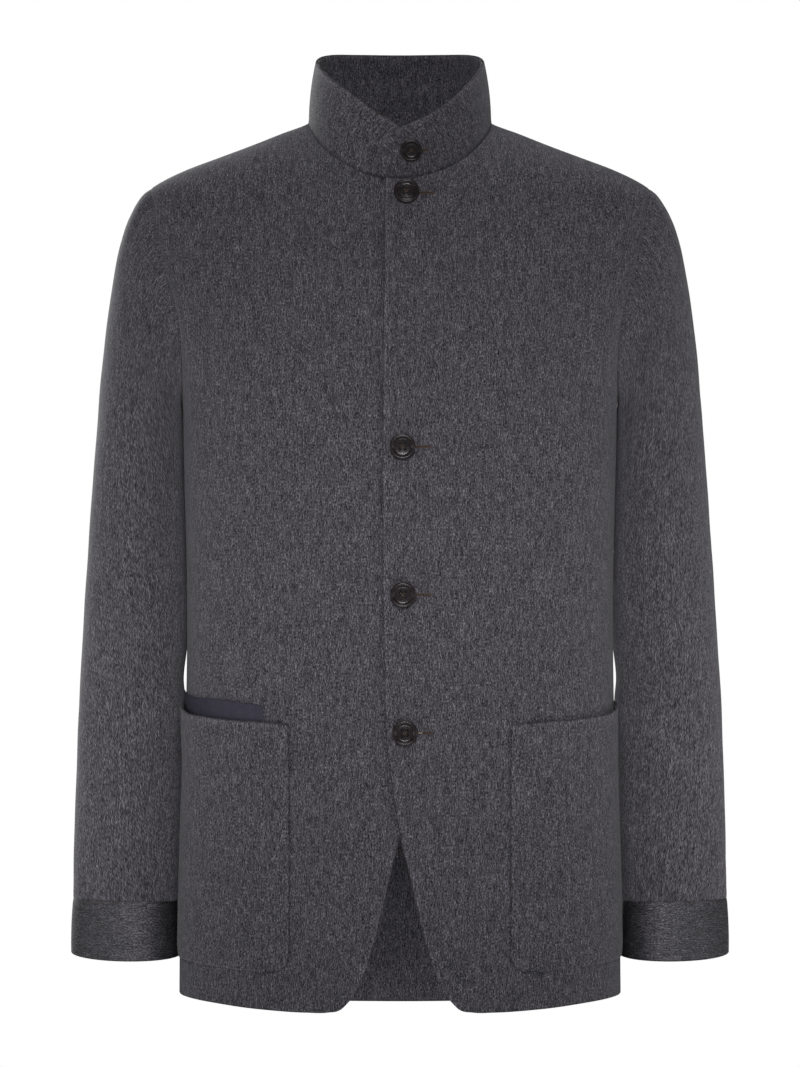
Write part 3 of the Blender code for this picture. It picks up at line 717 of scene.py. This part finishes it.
def collar_points():
    """Rows from the neckline up, each from the over end round the back to the under end."""
    degrees = -COLLAR_UNDER_END + (COLLAR_UNDER_END + 360 + COLLAR_OVER_END) * knots(RUN["collar"])
    base = collar_base(degrees) + (0, 0, SEAM)
    from_front = np.where(degrees > 180, 360 - degrees, degrees)
    under, over = read(COLLAR, "under", from_front), read(COLLAR, "over", from_front)
    rise = np.where(degrees > 180, over, under) - base[:, 2]
    foot, tuck = 1 + COLLAR_FOOT / NECK_HALF, 1 - COLLAR_TUCK / NECK_HALF
    rows = [base * (tuck, tuck, 1) - (0, 0, COLLAR_TUCK)]
    for share in collar_shares():
        lean = 1 - COLLAR_LEAN * share**2
        ring = base * (lean, lean, 1)
        ring[:, 2] += rise * share
        rows.append(ring)
    rows[1] = base * (foot, foot, 1) - (0, 0, COLLAR_FOOT)
    points = np.array(rows)[:, ::-1]
    lap = collar_thickness()[..., None] + LAP_GAP
    under_side = (degrees[::-1] < 90)[:, None]
    return np.where(under_side, lapped_under(points, lap, COLLAR_DROP), points)


def pocket_points(gape):
    """Outside of the left pocket: the front's own points, moved out, with a mouth that stands off."""
    across, up = knots(RUN["pocket"]), knots(RUN["pocket_height"])[:, None]
    reach = POCKET_INNER + (POCKET["reach"][-1] - POCKET_INNER) * np.sin(across * math.pi / 2)
    mouth, lower = read(POCKET, "mouth", reach), read(POCKET, "lower", reach)
    height = lower + (mouth - lower) * up
    to_corner = np.clip(POCKET_CORNER - (height - lower)[:, :1], 0, POCKET_CORNER)
    inset = POCKET_CORNER - np.sqrt(POCKET_CORNER**2 - to_corner**2)
    inner = station_at(POCKET_INNER + inset, height[:, :1])
    station = inner + (POCKET_SIDE - inner) * across
    points = on_torso("front", station, height)
    to_side = ease((across - FLAT_FROM) / (1 - FLAT_FROM))
    slack = (INNER_SLACK + (1 - INNER_SLACK) * ease(SLACK_GROWS * across)) * (1 - to_side)
    stand_off = gape * slack * ease(1 - (mouth - height) / MOUTH_SETTLES)
    return points, (POCKET_GAP + CLOTH) * (1 - SIDE_FLATTENS * to_side) + stand_off


def facing_points():
    """The front's points under the strip that faces the right pocket, drawn on the left to be mirrored."""
    inner = station_at(FACING_INNER, FACING_HEIGHT)
    station = inner + (POCKET_SIDE - inner) * knots(RUN["facing"])
    reach = on_torso("front", station, FACING_HEIGHT + 0 * station)[:, 0]
    top = read(FACING, "height", reach)
    bottom = read(POCKET, "mouth", reach) - FACING_TUCK
    height = bottom + (top - bottom) * knots(RUN["facing_height"])[:, None]
    return on_torso("front", station + 0 * height, height), FACING_GAP + FACING_CLOTH


def lifted(points, lift):
    """A front's points with its creases, moved out by the height of what lies on it."""
    return creased("front", points) + outward(points) * np.asarray(lift)[..., None]


def run_along(points, axis):
    """Distance along the grid's lines from their first points."""
    steps = lengths(np.diff(points, axis=axis))
    first = np.zeros_like(np.take(steps, [0], axis=axis))
    return np.concatenate((first, np.cumsum(steps, axis=axis)), axis=axis)


def edge_distances(points, closed):
    """Distance of each point from each edge of a sheet, or from the ends of a tube."""
    along = run_along(points, 0)
    far = {"low": along, "high": along[-1:] - along}
    if not closed:
        across = run_along(points, 1)
        far["first"] = across
        far["last"] = across[:, -1:] - across
    return far


def dip(kind, distance):
    """How far the cloth sinks at a distance from an edge of one kind."""
    if kind == "seam":
        return SEAM_SINK * np.clip(1 - distance / SEAM_WIDTH, 0, 1) ** 2
    pick = PICK_DEPTH * bell(distance - PICK_LINE, PICK_WIDTH)
    if kind == "sewn":
        return pick + SEWN_SINK * np.clip(1 - distance / SEWN_WIDTH, 0, 1) ** 2
    return pick if kind == "picked" else 0 * distance


def edge_shade(kind, distance):
    """How light a cloth is painted at a distance from an edge: painted shade in a seam or on a rim, a painted
    highlight just in from the rim.
    """
    if kind == "seam":
        return 1 - SEAM_DARK * bell(distance, DARK_WIDTH)
    rim = 1 + RIM_LIGHT[kind] * bell(distance - RIM_LINE, RIM_WIDTH)
    return rim * (1 - RIM_DARK * bell(distance, DARK_WIDTH))


def painted_shading_down(piece, points):
    """Painted light that changes on the way down a piece."""
    start, settles, above, below = PAINTED_SHADING_DOWN[piece]
    return above + (below - above) * ease((start - points[..., 2]) / settles)


def arm_shade(points):
    """Painted shade on the body's sides below the armholes, where the arms hang and keep light off them."""
    below = ease((UNDERARM + ARM_STARTS - points[..., 2]) / ARM_SETTLES)
    return 1 - ARM_DARK * bell(points[..., 1], ARM_WIDTH) * below


def under_shade(points):
    """The under front's painted shade from the arms, with a painted shadow along the edge of the front that
    laps over it.
    """
    edge = read(FRONT_EDGE, "reach", points[..., 2]) - LAP_LINE
    return arm_shade(points) * (1 - LAP_DARK * bell(points[..., 0] - edge, LAP_WIDTH))


def back_shade(points):
    """The back's painted shade from the arms, and painted light towards the hem."""
    return arm_shade(points) * painted_shading_down("back", points)


def sleeve_shade(points):
    """Painted light on a sleeve, lighter towards the cuff."""
    return painted_shading_down("sleeve", points)


def collar_shade(points):
    """The front of the collar: a painted shadow along the foot, and painted light at the wearer's right."""
    front = ease((COLLAR_FRONT - points[..., 1]) / COLLAR_FADES)
    foot = bell(lengths(points - points[1]), FOOT_WIDTH)
    right = bell(points[..., 0] - COLLAR_LIGHT_AT, COLLAR_LIGHT_WIDTH)
    return (1 - FOOT_DARK * front * foot) * (1 + COLLAR_LIGHT * front * right)


def cuff_shade(points):
    """A painted sheen down the middle of a cuff, and painted shade on the side that hangs against the body.
    """
    return read(CUFF_PAINTED_SHADING, "light", np.abs(points[..., 0]))


def wall(points, thickness, edges, closed, seamed):
    """The two sides of a cloth and its painted light and shade. The sides meet in a round edge, or on the
    outside of a seam.
    """
    normal = outward(points, closed)
    if seamed:
        normal[..., 1] *= np.clip(np.abs(points[..., 1]) / SEAM_WIDTH, 0, 1)
        normal /= lengths(normal)[..., None]
    sink, shade, rounded, tapered = 0, 1, 1, 1
    for side, distance in edge_distances(points, closed).items():
        sink = np.maximum(sink, dip(edges[side], distance))
        shade = np.maximum(shade * edge_shade(edges[side], distance), EDGE_LEAST)
        to_edge = 1 - np.clip(2 * distance / thickness, 0, 1)
        fullness = np.sqrt(1 - to_edge**2)
        if edges[side] in ("seam", "sewn"):
            tapered = tapered * fullness
        else:
            rounded = rounded * fullness
    outer = points - normal * (sink + (1 - rounded) * thickness / 2)[..., None]
    return outer, outer - normal * (rounded * tapered * thickness)[..., None], shade


def quads(index):
    """Corners of the grid's faces."""
    corners = (index[:-1, :-1], index[:-1, 1:], index[1:, 1:], index[1:, :-1])
    return np.stack(corners, axis=-1).reshape(-1, 4)


def wrapped(grid, closed):
    """A grid, with its first column again at the end if it is closed."""
    return np.concatenate((grid, grid[:, :1]), axis=1) if closed else grid


def grid_place(points):
    """Place on a sleeve's, cuff's or collar's cloth in metres: round from the middle, and up."""
    across, along = run_along(points, 1), run_along(points, 0)
    return np.stack((across - across[:, -1:] / 2, along), axis=-1)


def body_place(face, points):
    """Place on a body panel's cloth in metres: round from the centre line, and up the centre line."""
    x, y, height = np.moveaxis(points, -1, 0)
    power = level("square", height) / 2
    across = (np.abs(x) / level("half_width", height)) ** power
    through = (np.abs(y) / level(face, height)) ** power
    station = np.sign(x) * np.interp(np.arctan2(across, through), GIRTH[1], GIRTH[0])
    steps = np.linspace(0, 1, ROUND_STEPS)
    line = on_torso(face, station[..., None] * steps, height[..., None] + 0 * steps)
    round_way = lengths(np.diff(line, axis=-2)).sum(axis=-1)
    climbed = np.interp(height, CLIMB, travel(CLIMB, level(face, CLIMB)))
    return np.stack((np.sign(x) * round_way, climbed), axis=-1)


def cloth_uvs(points, closed, face, shift):
    """Place on the cloth, and place on the grid from 0 to 1."""
    points = wrapped(points, closed)
    place = body_place(face, points) if face else grid_place(points)
    rows, columns = points.shape[:2]
    share = np.stack(np.meshgrid(np.linspace(0, 1, columns), np.linspace(0, 1, rows)), axis=-1)
    return place + (shift, 0), share


def set_uv(mesh, name, values, corner, under_shift):
    """A UV map for both sides of a cloth, the under side moved across."""
    layer = mesh.uv_layers.new(name=name)
    over = values[corner].reshape(-1, 2)
    under = values[corner[:, ::-1]].reshape(-1, 2) + (under_shift, 0)
    layer.data.foreach_set("uv", np.concatenate((over, under)).ravel())


def cloth_mesh(name, outer, inner, shade, closed, face, shift):
    """A closed mesh from the two sides of a cloth, which share the points of its edges."""
    rows, columns = outer.shape[:2]
    index = np.arange(rows * columns).reshape(rows, columns)
    inside = np.ones((rows, columns), bool)
    inside[[0, -1]] = False
    if not closed:
        inside[:, [0, -1]] = False
    under = index.copy()
    under[inside] = rows * columns + np.arange(inside.sum())
    verts = np.concatenate((outer.reshape(-1, 3), inner[inside]))
    faces = np.concatenate((quads(wrapped(index, closed)), quads(wrapped(under, closed))[:, ::-1]))
    mesh = bpy.data.meshes.new(name)
    mesh.from_pydata(verts.tolist(), [], faces.tolist())
    mesh.shade_smooth()
    # Painted light and shade of each point, which scales the cloth's colour
    painted_shading = mesh.attributes.new("Painted shading", "FLOAT", "POINT")
    painted_shading.data.foreach_set("value", np.concatenate((shade.ravel(), shade[inside])))
    place, share = cloth_uvs(outer, closed, face, shift)
    corner = quads(np.arange(place.shape[0] * place.shape[1]).reshape(place.shape[:2]))
    set_uv(mesh, "Cloth", place.reshape(-1, 2), corner, 0.0)
    set_uv(mesh, "OFBake", share.reshape(-1, 2) * BAKE_SIZE + BAKE_MARGIN, corner, BAKE_UNDER)
    return mesh


pieces = []


def new_object(name, data):
    """An object, put in the scene."""
    made = bpy.data.objects.new(name, data)
    bpy.context.scene.collection.objects.link(made)
    return made


def new_mesh(name, bm):
    """A mesh from loose geometry, which is freed."""
    mesh = bpy.data.meshes.new(name)
    bm.to_mesh(mesh)
    bm.free()
    return mesh


def add_piece(name, mesh, material):
    """A piece that rides with the part."""
    mesh.materials.append(material)
    piece = new_object(name, mesh)
    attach(piece, "root")
    pieces.append(piece)
    return piece


def add_cloth(
    node, points, thickness, material, slot, closed=False, seamed=False, face=None, paint_shading=None, **edges
):
    """A piece of cloth that stands for one solid, whose part is hidden."""
    outer, inner, shade = wall(points, thickness, {**FREE_EDGES, **edges}, closed, seamed)
    # The piece's own painted light and shade, on top of that at its edges
    if paint_shading:
        shade = shade * paint_shading(outer)
    mesh = cloth_mesh("cloth_" + node, outer, inner, shade, closed, face, CLOTH_SHIFT * len(pieces))
    piece = add_piece("cloth_" + node, mesh, material)
    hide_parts(node)
    return piece


def add_node(tree, kind, inputs=None, **settings):
    """A shader node with its settings. An input is a value, or the output that feeds it."""
    made = tree.nodes.new(kind)
    for name, value in settings.items():
        setattr(made, name, value)
    for name, value in (inputs or {}).items():
        if isinstance(value, bpy.types.NodeSocket):
            tree.links.new(value, made.inputs[name])
        else:
            made.inputs[name].default_value = value
    return made


def new_material(name, **values):
    """A material whose shader has the given values. Returns it with its nodes."""
    material = bpy.data.materials.new(name)
    material.use_nodes = True
    tree = material.node_tree
    shader = tree.nodes["Principled BSDF"]
    for key, value in values.items():
        shader.inputs[key.replace("_", " ")].default_value = value
    return material, tree


def stretched_noise(tree, across, along, detail, turn=0.0, distortion=0.0):
    """Noise with grains of a given width and length on the cloth. Returns its value."""
    place = add_node(tree, "ShaderNodeUVMap", uv_map="Cloth").outputs["UV"]
    size = {"Vector": place, "Rotation": (0, 0, turn), "Scale": (across, along, 1)}
    grid = add_node(tree, "ShaderNodeMapping", size, vector_type="TEXTURE").outputs["Vector"]
    grain = {"Vector": grid, "Scale": 1.0, "Detail": detail, "Roughness": 0.6, "Distortion": distortion}
    return add_node(tree, "ShaderNodeTexNoise", grain).outputs["Fac"]


def weighted_sum(tree, *terms):
    """Sum of values, each times its weight."""
    total = 0.0
    for value, weight in terms:
        step = add_node(tree, "ShaderNodeMath", {0: value, 1: weight, 2: total}, operation="MULTIPLY_ADD")
        total = step.outputs["Value"]
    return total


def color_ramp(tree, value, *stops):
    """Colours by value, each stop a place and a colour."""
    ramp = add_node(tree, "ShaderNodeValToRGB", {"Fac": value})
    elements = ramp.color_ramp.elements
    while len(elements) < len(stops):
        elements.new(0.5)
    for element, (position, color) in zip(elements, stops):
        element.position = position
        element.color = (*color, 1)
    return ramp.outputs["Color"]


def shades(color, *shares):
    """Darker and lighter shades of a colour, each at its place on a ramp."""
    return [(position, tuple(share * part for part in color)) for position, share in shares]


def dress(tree, color, height, strength, distance):
    """Gives a material its colour and a fine relief."""
    grain = {"Height": height, "Strength": strength, "Distance": distance}
    bump = add_node(tree, "ShaderNodeBump", grain)
    shader = tree.nodes["Principled BSDF"]
    tree.links.new(color, shader.inputs["Base Color"])
    tree.links.new(bump.outputs["Normal"], shader.inputs["Normal"])


def cashmere_material(name, turn, tone, **finish):
    """Brushed wool: light and dark fibres drawn out in a direction turned from the cloth's length, their
    colour scaled by painted light and shade.
    """
    material, tree = new_material(name, Sheen_Roughness=0.5, **finish)
    fibres = []
    for across, along, detail, lean, distortion, share in FIBRES:
        fibres.append((stretched_noise(tree, across, along, detail, turn + lean, distortion), share))
    fibre = weighted_sum(tree, *fibres)
    # Painted light and shade, read from the mesh, scale the fibres' colour
    painted_shading = add_node(tree, "ShaderNodeAttribute", attribute_name="Painted shading").outputs["Fac"]
    color = color_ramp(tree, fibre, *shades(tone, *FIBRE_SHADES))
    shaded = add_node(tree, "ShaderNodeVectorMath", {0: color, "Scale": painted_shading}, operation="SCALE")
    dress(tree, shaded.outputs["Vector"], fibre, strength=0.45, distance=0.0007)
    return material


def satin_material():
    """Smooth dark weave with a faint diagonal rib."""
    material, tree = new_material("satin", Roughness=0.6, Specular_IOR_Level=0.04)
    ribs = stretched_noise(tree, 0.0004, 0.004, 1.0, turn=0.6)
    folds = stretched_noise(tree, 0.012, 0.006, 1.0)
    value = weighted_sum(tree, (ribs, 0.6), (folds, 0.4))
    color = color_ramp(tree, value, (0.3, (0.0108, 0.0104, 0.0149)), (0.7, (0.0192, 0.0183, 0.0252)))
    dress(tree, color, value, strength=0.15, distance=0.0004)
    return material


def horn_material():
    """Polished dark horn with faint brown streaks."""
    material, tree = new_material("horn", Roughness=0.22, Specular_IOR_Level=0.10)
    place = add_node(tree, "ShaderNodeTexCoord").outputs["Object"]
    grid = add_node(tree, "ShaderNodeMapping", {"Vector": place, "Scale": (220, 700, 400)}).outputs["Vector"]
    grain = {"Vector": grid, "Scale": 1.0, "Detail": 3.0, "Distortion": 0.8}
    value = add_node(tree, "ShaderNodeTexNoise", grain).outputs["Fac"]
    color = color_ramp(tree, value, (0.35, (0.0030, 0.0024, 0.0027)), (0.75, (0.0100, 0.0076, 0.0080)))
    dress(tree, color, value, strength=0.05, distance=0.0002)
    return material


def thread_material(name, color):
    """Twisted sewing thread."""
    material, tree = new_material(name, Roughness=0.6, Specular_IOR_Level=0.08)
    place = add_node(tree, "ShaderNodeTexCoord").outputs["Object"]
    twist = {"Vector": place, "Scale": 2600.0, "Detail": 1.0}
    value = add_node(tree, "ShaderNodeTexNoise", twist).outputs["Fac"]
    ramp = color_ramp(tree, value, *shades(color, (0.35, 0.6), (0.65, 1.4)))
    dress(tree, ramp, value, strength=0.3, distance=0.0002)
    return material


surfaces = {}


def surface_at(piece, x, height):
    """The outside of a piece at a place seen from the front, and its normal. The search trees are kept."""
    if piece.name not in surfaces:
        mesh = piece.data
        surfaces[piece.name] = BVHTree.FromPolygons(
            [v.co for v in mesh.vertices], [p.vertices for p in mesh.polygons]
        )
    place, normal, _, _ = surfaces[piece.name].ray_cast(Vector((x, -1, height)), Vector((0, 1, 0)))
    return place, normal


def frame_on(place, normal, lift=0.0):
    """A matrix with its Z along a surface's normal and its X across the jacket."""
    across = Vector((1, 0, 0))
    up = normal.cross(across).normalized()
    across = up.cross(normal).normalized()
    turn = Matrix((across, up, normal)).transposed().to_4x4()
    return Matrix.Translation(place + normal * lift) @ turn


def lathe(bm, profile, segments):
    """A turned shape from a profile of radii and heights that starts and ends on the axis."""
    verts = [bm.verts.new((r, 0, z)) for r, z in profile]
    edges = [bm.edges.new(pair) for pair in zip(verts, verts[1:])]
    turn = {"cent": (0, 0, 0), "axis": (0, 0, 1), "angle": 2 * math.pi, "steps": segments}
    bmesh.ops.spin(bm, geom=verts + edges, use_merge=True, **turn)
    bmesh.ops.remove_doubles(bm, verts=bm.verts, dist=1e-7)


def button_profile(radius):
    """Radii and heights of a button with a dished middle and a round rim, from shares of its full size."""
    rim = [(0.86 + 0.14 * math.sin(a), 0.70 + 0.30 * math.cos(a)) for a in np.linspace(-1.2, 2.2, 14)]
    shape = [(0.0, 0.64), (0.55, 0.645), (0.66, 0.70), *rim, (0.90, 0.12), (0.78, 0.0), (0.0, 0.0)]
    return [(r * radius, z * BUTTON_THICKNESS) for r, z in shape]


def add_mesh(name, bm, material, smooth_angle=40):
    """A piece from loose geometry, smooth up to an angle."""
    bmesh.ops.recalc_face_normals(bm, faces=bm.faces)
    mesh = new_mesh(name, bm)
    mesh.shade_smooth()
    mesh.set_sharp_from_angle(angle=math.radians(smooth_angle))
    return add_piece(name, mesh, material)


def thread_hole(radius, angle):
    """Middle of a button's thread hole."""
    return HOLE_PLACE * radius * Vector((math.cos(angle), math.sin(angle), 0))


def hole_cutter(radius):
    """Four rods through a button, which cut its thread holes."""
    bm = bmesh.new()
    rod = {"radius1": HOLE_RADIUS * radius, "radius2": HOLE_RADIUS * radius, "depth": HOLE_DEPTH}
    for quarter in range(4):
        made = bmesh.ops.create_cone(bm, cap_ends=True, segments=20, **rod)
        move = thread_hole(radius, math.pi / 4 + quarter * math.pi / 2)
        bmesh.ops.translate(bm, verts=made["verts"], vec=move)
    return new_object("thread_holes", new_mesh("thread_holes", bm))


def drill(button, radius):
    """Cuts a button's thread holes."""
    cutter = hole_cutter(radius)
    cut = button.modifiers.new("Thread holes", "BOOLEAN")
    cut.object = cutter
    cut.solver = "EXACT"
    drilled = bpy.data.meshes.new_from_object(button.evaluated_get(bpy.context.evaluated_depsgraph_get()))
    button.modifiers.clear()
    button.data = drilled
    bpy.data.objects.remove(cutter)


def add_stitch(bm, start, end, radius):
    """A short rounded thread from one point to another."""
    made = bmesh.ops.create_uvsphere(bm, u_segments=8, v_segments=6, radius=1.0)
    run = end - start
    turn = run.to_track_quat("Z", "Y").to_matrix().to_4x4()
    size = Matrix.Diagonal((radius, radius, run.length / 2 + radius, 1))
    matrix = Matrix.Translation((start + end) / 2) @ turn @ size
    bmesh.ops.transform(bm, matrix=matrix, verts=made["verts"])


def add_button(node, radius, place, normal, hangs):
    """A button with four holes, sewn on with crossed threads."""
    bm = bmesh.new()
    lathe(bm, button_profile(radius), 64)
    button = add_mesh("horn_" + node, bm, horn, smooth_angle=35)
    drill(button, radius)
    facing = normal.lerp(Vector(BUTTON_HANG), hangs).normalized()
    stand = BUTTON_GAP + radius * (facing - normal).length
    matrix = frame_on(place, facing, stand)
    button.data.transform(matrix)
    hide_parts(node)
    stitches = bmesh.new()
    top = Vector((0, 0, CROSS_HEIGHT * BUTTON_THICKNESS))
    for turn in (math.pi / 4, -math.pi / 4):
        reach = thread_hole(radius, turn)
        add_stitch(stitches, top - reach, top + reach, CROSS_RADIUS)
    add_stitch(stitches, Vector((0, 0, -stand)), Vector((0, 0, SHANK_TOP)), SHANK_RADIUS)
    bmesh.ops.transform(stitches, matrix=matrix, verts=stitches.verts)
    sewing = add_mesh("thread_" + node, stitches, brown_thread)


def sew(bm, piece, x, height, radius, *stitches):
    """Stitches on a piece's own surface, each given by its two ends as seen from a place there."""
    matrix = frame_on(*surface_at(piece, x, height), STITCH_LIFT)
    for start, end in stitches:
        add_stitch(bm, matrix @ Vector(start), matrix @ Vector(end), radius)


def add_buttonhole(name, piece, x, height, start, length):
    """Close stitches along both sides of a slit and round its far end, and a near-black line down the slit as
    its painted shadow.
    """
    bm, slit = bmesh.new(), bmesh.new()
    count = int((length - start) / STITCH_STEP)
    sides = [((0, side * STITCH_NEAR, STITCH_TOP), (STITCH_SLANT, side * STITCH_FAR, 0)) for side in (-1, 1)]
    gap = ((-STITCH_STEP, 0, STITCH_LIFT), (STITCH_STEP, 0, STITCH_LIFT))
    for i in range(count):
        along = start + (length - start) * (i + 0.5) / count
        sew(bm, piece, x + along, height, STITCH_RADIUS, *sides)
        # A near-black line down the slit: painted shadow inside the buttonhole
        sew(slit, piece, x + along, height, FINE_RADIUS, gap)
    turns = [np.array((math.cos(a), math.sin(a), 1)) for a in np.linspace(-END_TURN, END_TURN, END_STITCHES)]
    sew(bm, piece, x + length, height, FINE_RADIUS, *[(END_NEAR * turn, END_FAR * turn) for turn in turns])
    add_mesh("buttonhole_" + name, bm, brown_thread)
    add_mesh("slit_" + name, slit, slit_shadow)


def add_closure(name, piece, x, height, radius, hangs, hole):
    """A button and its buttonhole."""
    place, normal = surface_at(piece, x, height)
    add_button("button_" + name, radius, place, normal, hangs)
    add_buttonhole(name, piece, x, height, HOLE_STARTS * radius, hole)


def add_tack(name, piece, x, height):
    """A short thread laid along a piece."""
    bm = bmesh.new()
    ends = [surface_at(piece, reach, height)[0] for reach in (x, x + TACK_LENGTH)]
    add_stitch(bm, *ends, TACK_RADIUS)
    add_mesh("tack_" + name, bm, tan_thread)


def make_camera():
    """A camera straight in front, with a lens that takes in the frame's height."""
    data = bpy.data.cameras.new("camera")
    data.sensor_width = SENSOR
    data.lens = SENSOR * CAMERA_DISTANCE / FRAME_HEIGHT
    camera = new_object("camera", data)
    camera.location = (0, -CAMERA_DISTANCE, CAMERA_HEIGHT)
    camera.rotation_euler = (math.pi / 2, 0, 0)
    bpy.context.scene.camera = camera


def make_light(name, place, aim, size, power, spread):
    """A soft box that shines within a spread, in degrees."""
    data = bpy.data.lights.new(name, "AREA")
    data.shape = "RECTANGLE"
    data.size, data.size_y = size
    data.energy = power
    data.spread = math.radians(spread)
    light = new_object(name, data)
    light.location = place
    light.rotation_euler = (Vector(aim) - Vector(place)).to_track_quat("-Z", "Y").to_euler()


def make_room():
    """A white room, brighter to the eye than the light it gives."""
    world = bpy.data.worlds.new("studio")
    world.use_nodes = True
    tree = world.node_tree
    walls = tree.nodes["Background"]
    walls.inputs["Color"].default_value = (1, 1, 1, 1)
    seen = add_node(tree, "ShaderNodeLightPath").outputs["Is Camera Ray"]
    share = {0: seen, 1: 1 - ROOM_LIGHT, 2: ROOM_LIGHT}
    strength = add_node(tree, "ShaderNodeMath", share, operation="MULTIPLY_ADD")
    tree.links.new(strength.outputs["Value"], walls.inputs["Strength"])
    bpy.context.scene.world = world


def make_floor():
    """A pale floor, as far below as a wearer's feet."""
    bm = bmesh.new()
    bmesh.ops.create_circle(bm, cap_ends=True, segments=96, radius=FLOOR_RADIUS)
    floor = new_object("floor", new_mesh("floor", bm))
    floor.location = (0, 0, FLOOR)
    glow = {"Emission_Color": (1, 1, 1, 1), "Emission_Strength": 0.5}
    pale, _ = new_material("floor", Base_Color=(0.86, 0.86, 0.86, 1), Roughness=0.9, **glow)
    floor.data.materials.append(pale)


make_camera()
make_room()
make_floor()
for box in LIGHTS:
    make_light(*box)
bpy.context.scene.view_settings.view_transform = "Standard"

cashmere = cashmere_material(
    "cashmere", 0.0, (0.0300, 0.0284, 0.0329), Roughness=0.95, Diffuse_Roughness=0.6, Sheen_Weight=0.03,
    Specular_IOR_Level=0.04,
)
cashmere_across = cashmere_material(
    "cashmere across", math.pi / 2, (0.0285, 0.0269, 0.0309), Roughness=0.65, Specular_IOR_Level=0.13
)
satin = satin_material()
horn = horn_material()
brown_thread = thread_material("brown thread", (0.024, 0.0165, 0.0130))
tan_thread = thread_material("tan thread", (0.085, 0.072, 0.060))
# Near-black, for the painted shadow in a buttonhole's slit
slit_shadow = thread_material("slit", (0.003, 0.0025, 0.003))

soft = {"thickness": CLOTH, "material": cashmere, "slot": "cashmere"}
left = {**soft, "face": "front", "paint_shading": arm_shade, "seamed": True, "high": "seam"}
right = {**left, "paint_shading": under_shade}
back = {**left, "face": "back", "paint_shading": back_shade}
left_front = creased("front", front_points())
right_front = lapped_under(creased("front", mirrored(front_points())), CLOTH + LAP_GAP)
# The fronts' inner edges get a painted highlight along the rim
over_front = add_cloth("front_left", left_front, first="lit_rim", last="seam", **left)
add_cloth("front_right", right_front, first="seam", last="lit_rim", **right)
add_cloth("back", creased("back", back_points()), first="seam", last="seam", **back)

sleeve = {**soft, "closed": True, "high": "seam", "paint_shading": sleeve_shade}
add_cloth("sleeve_left", sleeve_points("left"), **sleeve)
add_cloth("sleeve_right", mirrored(sleeve_points("right")), **sleeve)
cuff = {"closed": True, "low": "seam", "paint_shading": cuff_shade}
add_cloth("cuff_left", cuff_points(), CUFF_CLOTH, cashmere_across, "cashmere_across", **cuff)
add_cloth("cuff_right", mirrored(cuff_points()), CUFF_CLOTH, cashmere_across, "cashmere_across", **cuff)
band = {**soft, "thickness": collar_thickness(), "paint_shading": collar_shade}
# The collar's top edge and over end get a painted highlight along the rim
collar = add_cloth("collar", collar_points(), low="seam", high="lit_rim", first="lit_rim", **band)

pocket = {**soft, "face": "front", "paint_shading": arm_shade}
pocket.update(low="sewn", first="sewn", last="sewn", high="picked")
points, lift = pocket_points(LEFT_MOUTH_GAPE)
add_cloth("pocket_left", lifted(points, lift), **pocket)
points, lift = pocket_points(RIGHT_MOUTH_GAPE)
add_cloth("pocket_right", lifted(mirrored(points), lift[:, ::-1]), **pocket)
points, lift = facing_points()
add_cloth("pocket_facing_right", lifted(mirrored(points), lift), FACING_CLOTH, satin, "satin", face="front")

for number, (x, height) in enumerate(FRONT_BUTTONS, start=1):
    add_closure(f"{number}", over_front, x, height, BUTTON_RADIUS, FRONT_HANGS, BUTTONHOLE)
x, height = FRONT_BUTTONS[-1]
add_tack("lowest", over_front, x + BUTTON_RADIUS, height)
x, height = COLLAR_BUTTON
add_closure("collar", collar, x, height, COLLAR_BUTTON_RADIUS, COLLAR_HANGS, COLLAR_BUTTONHOLE)
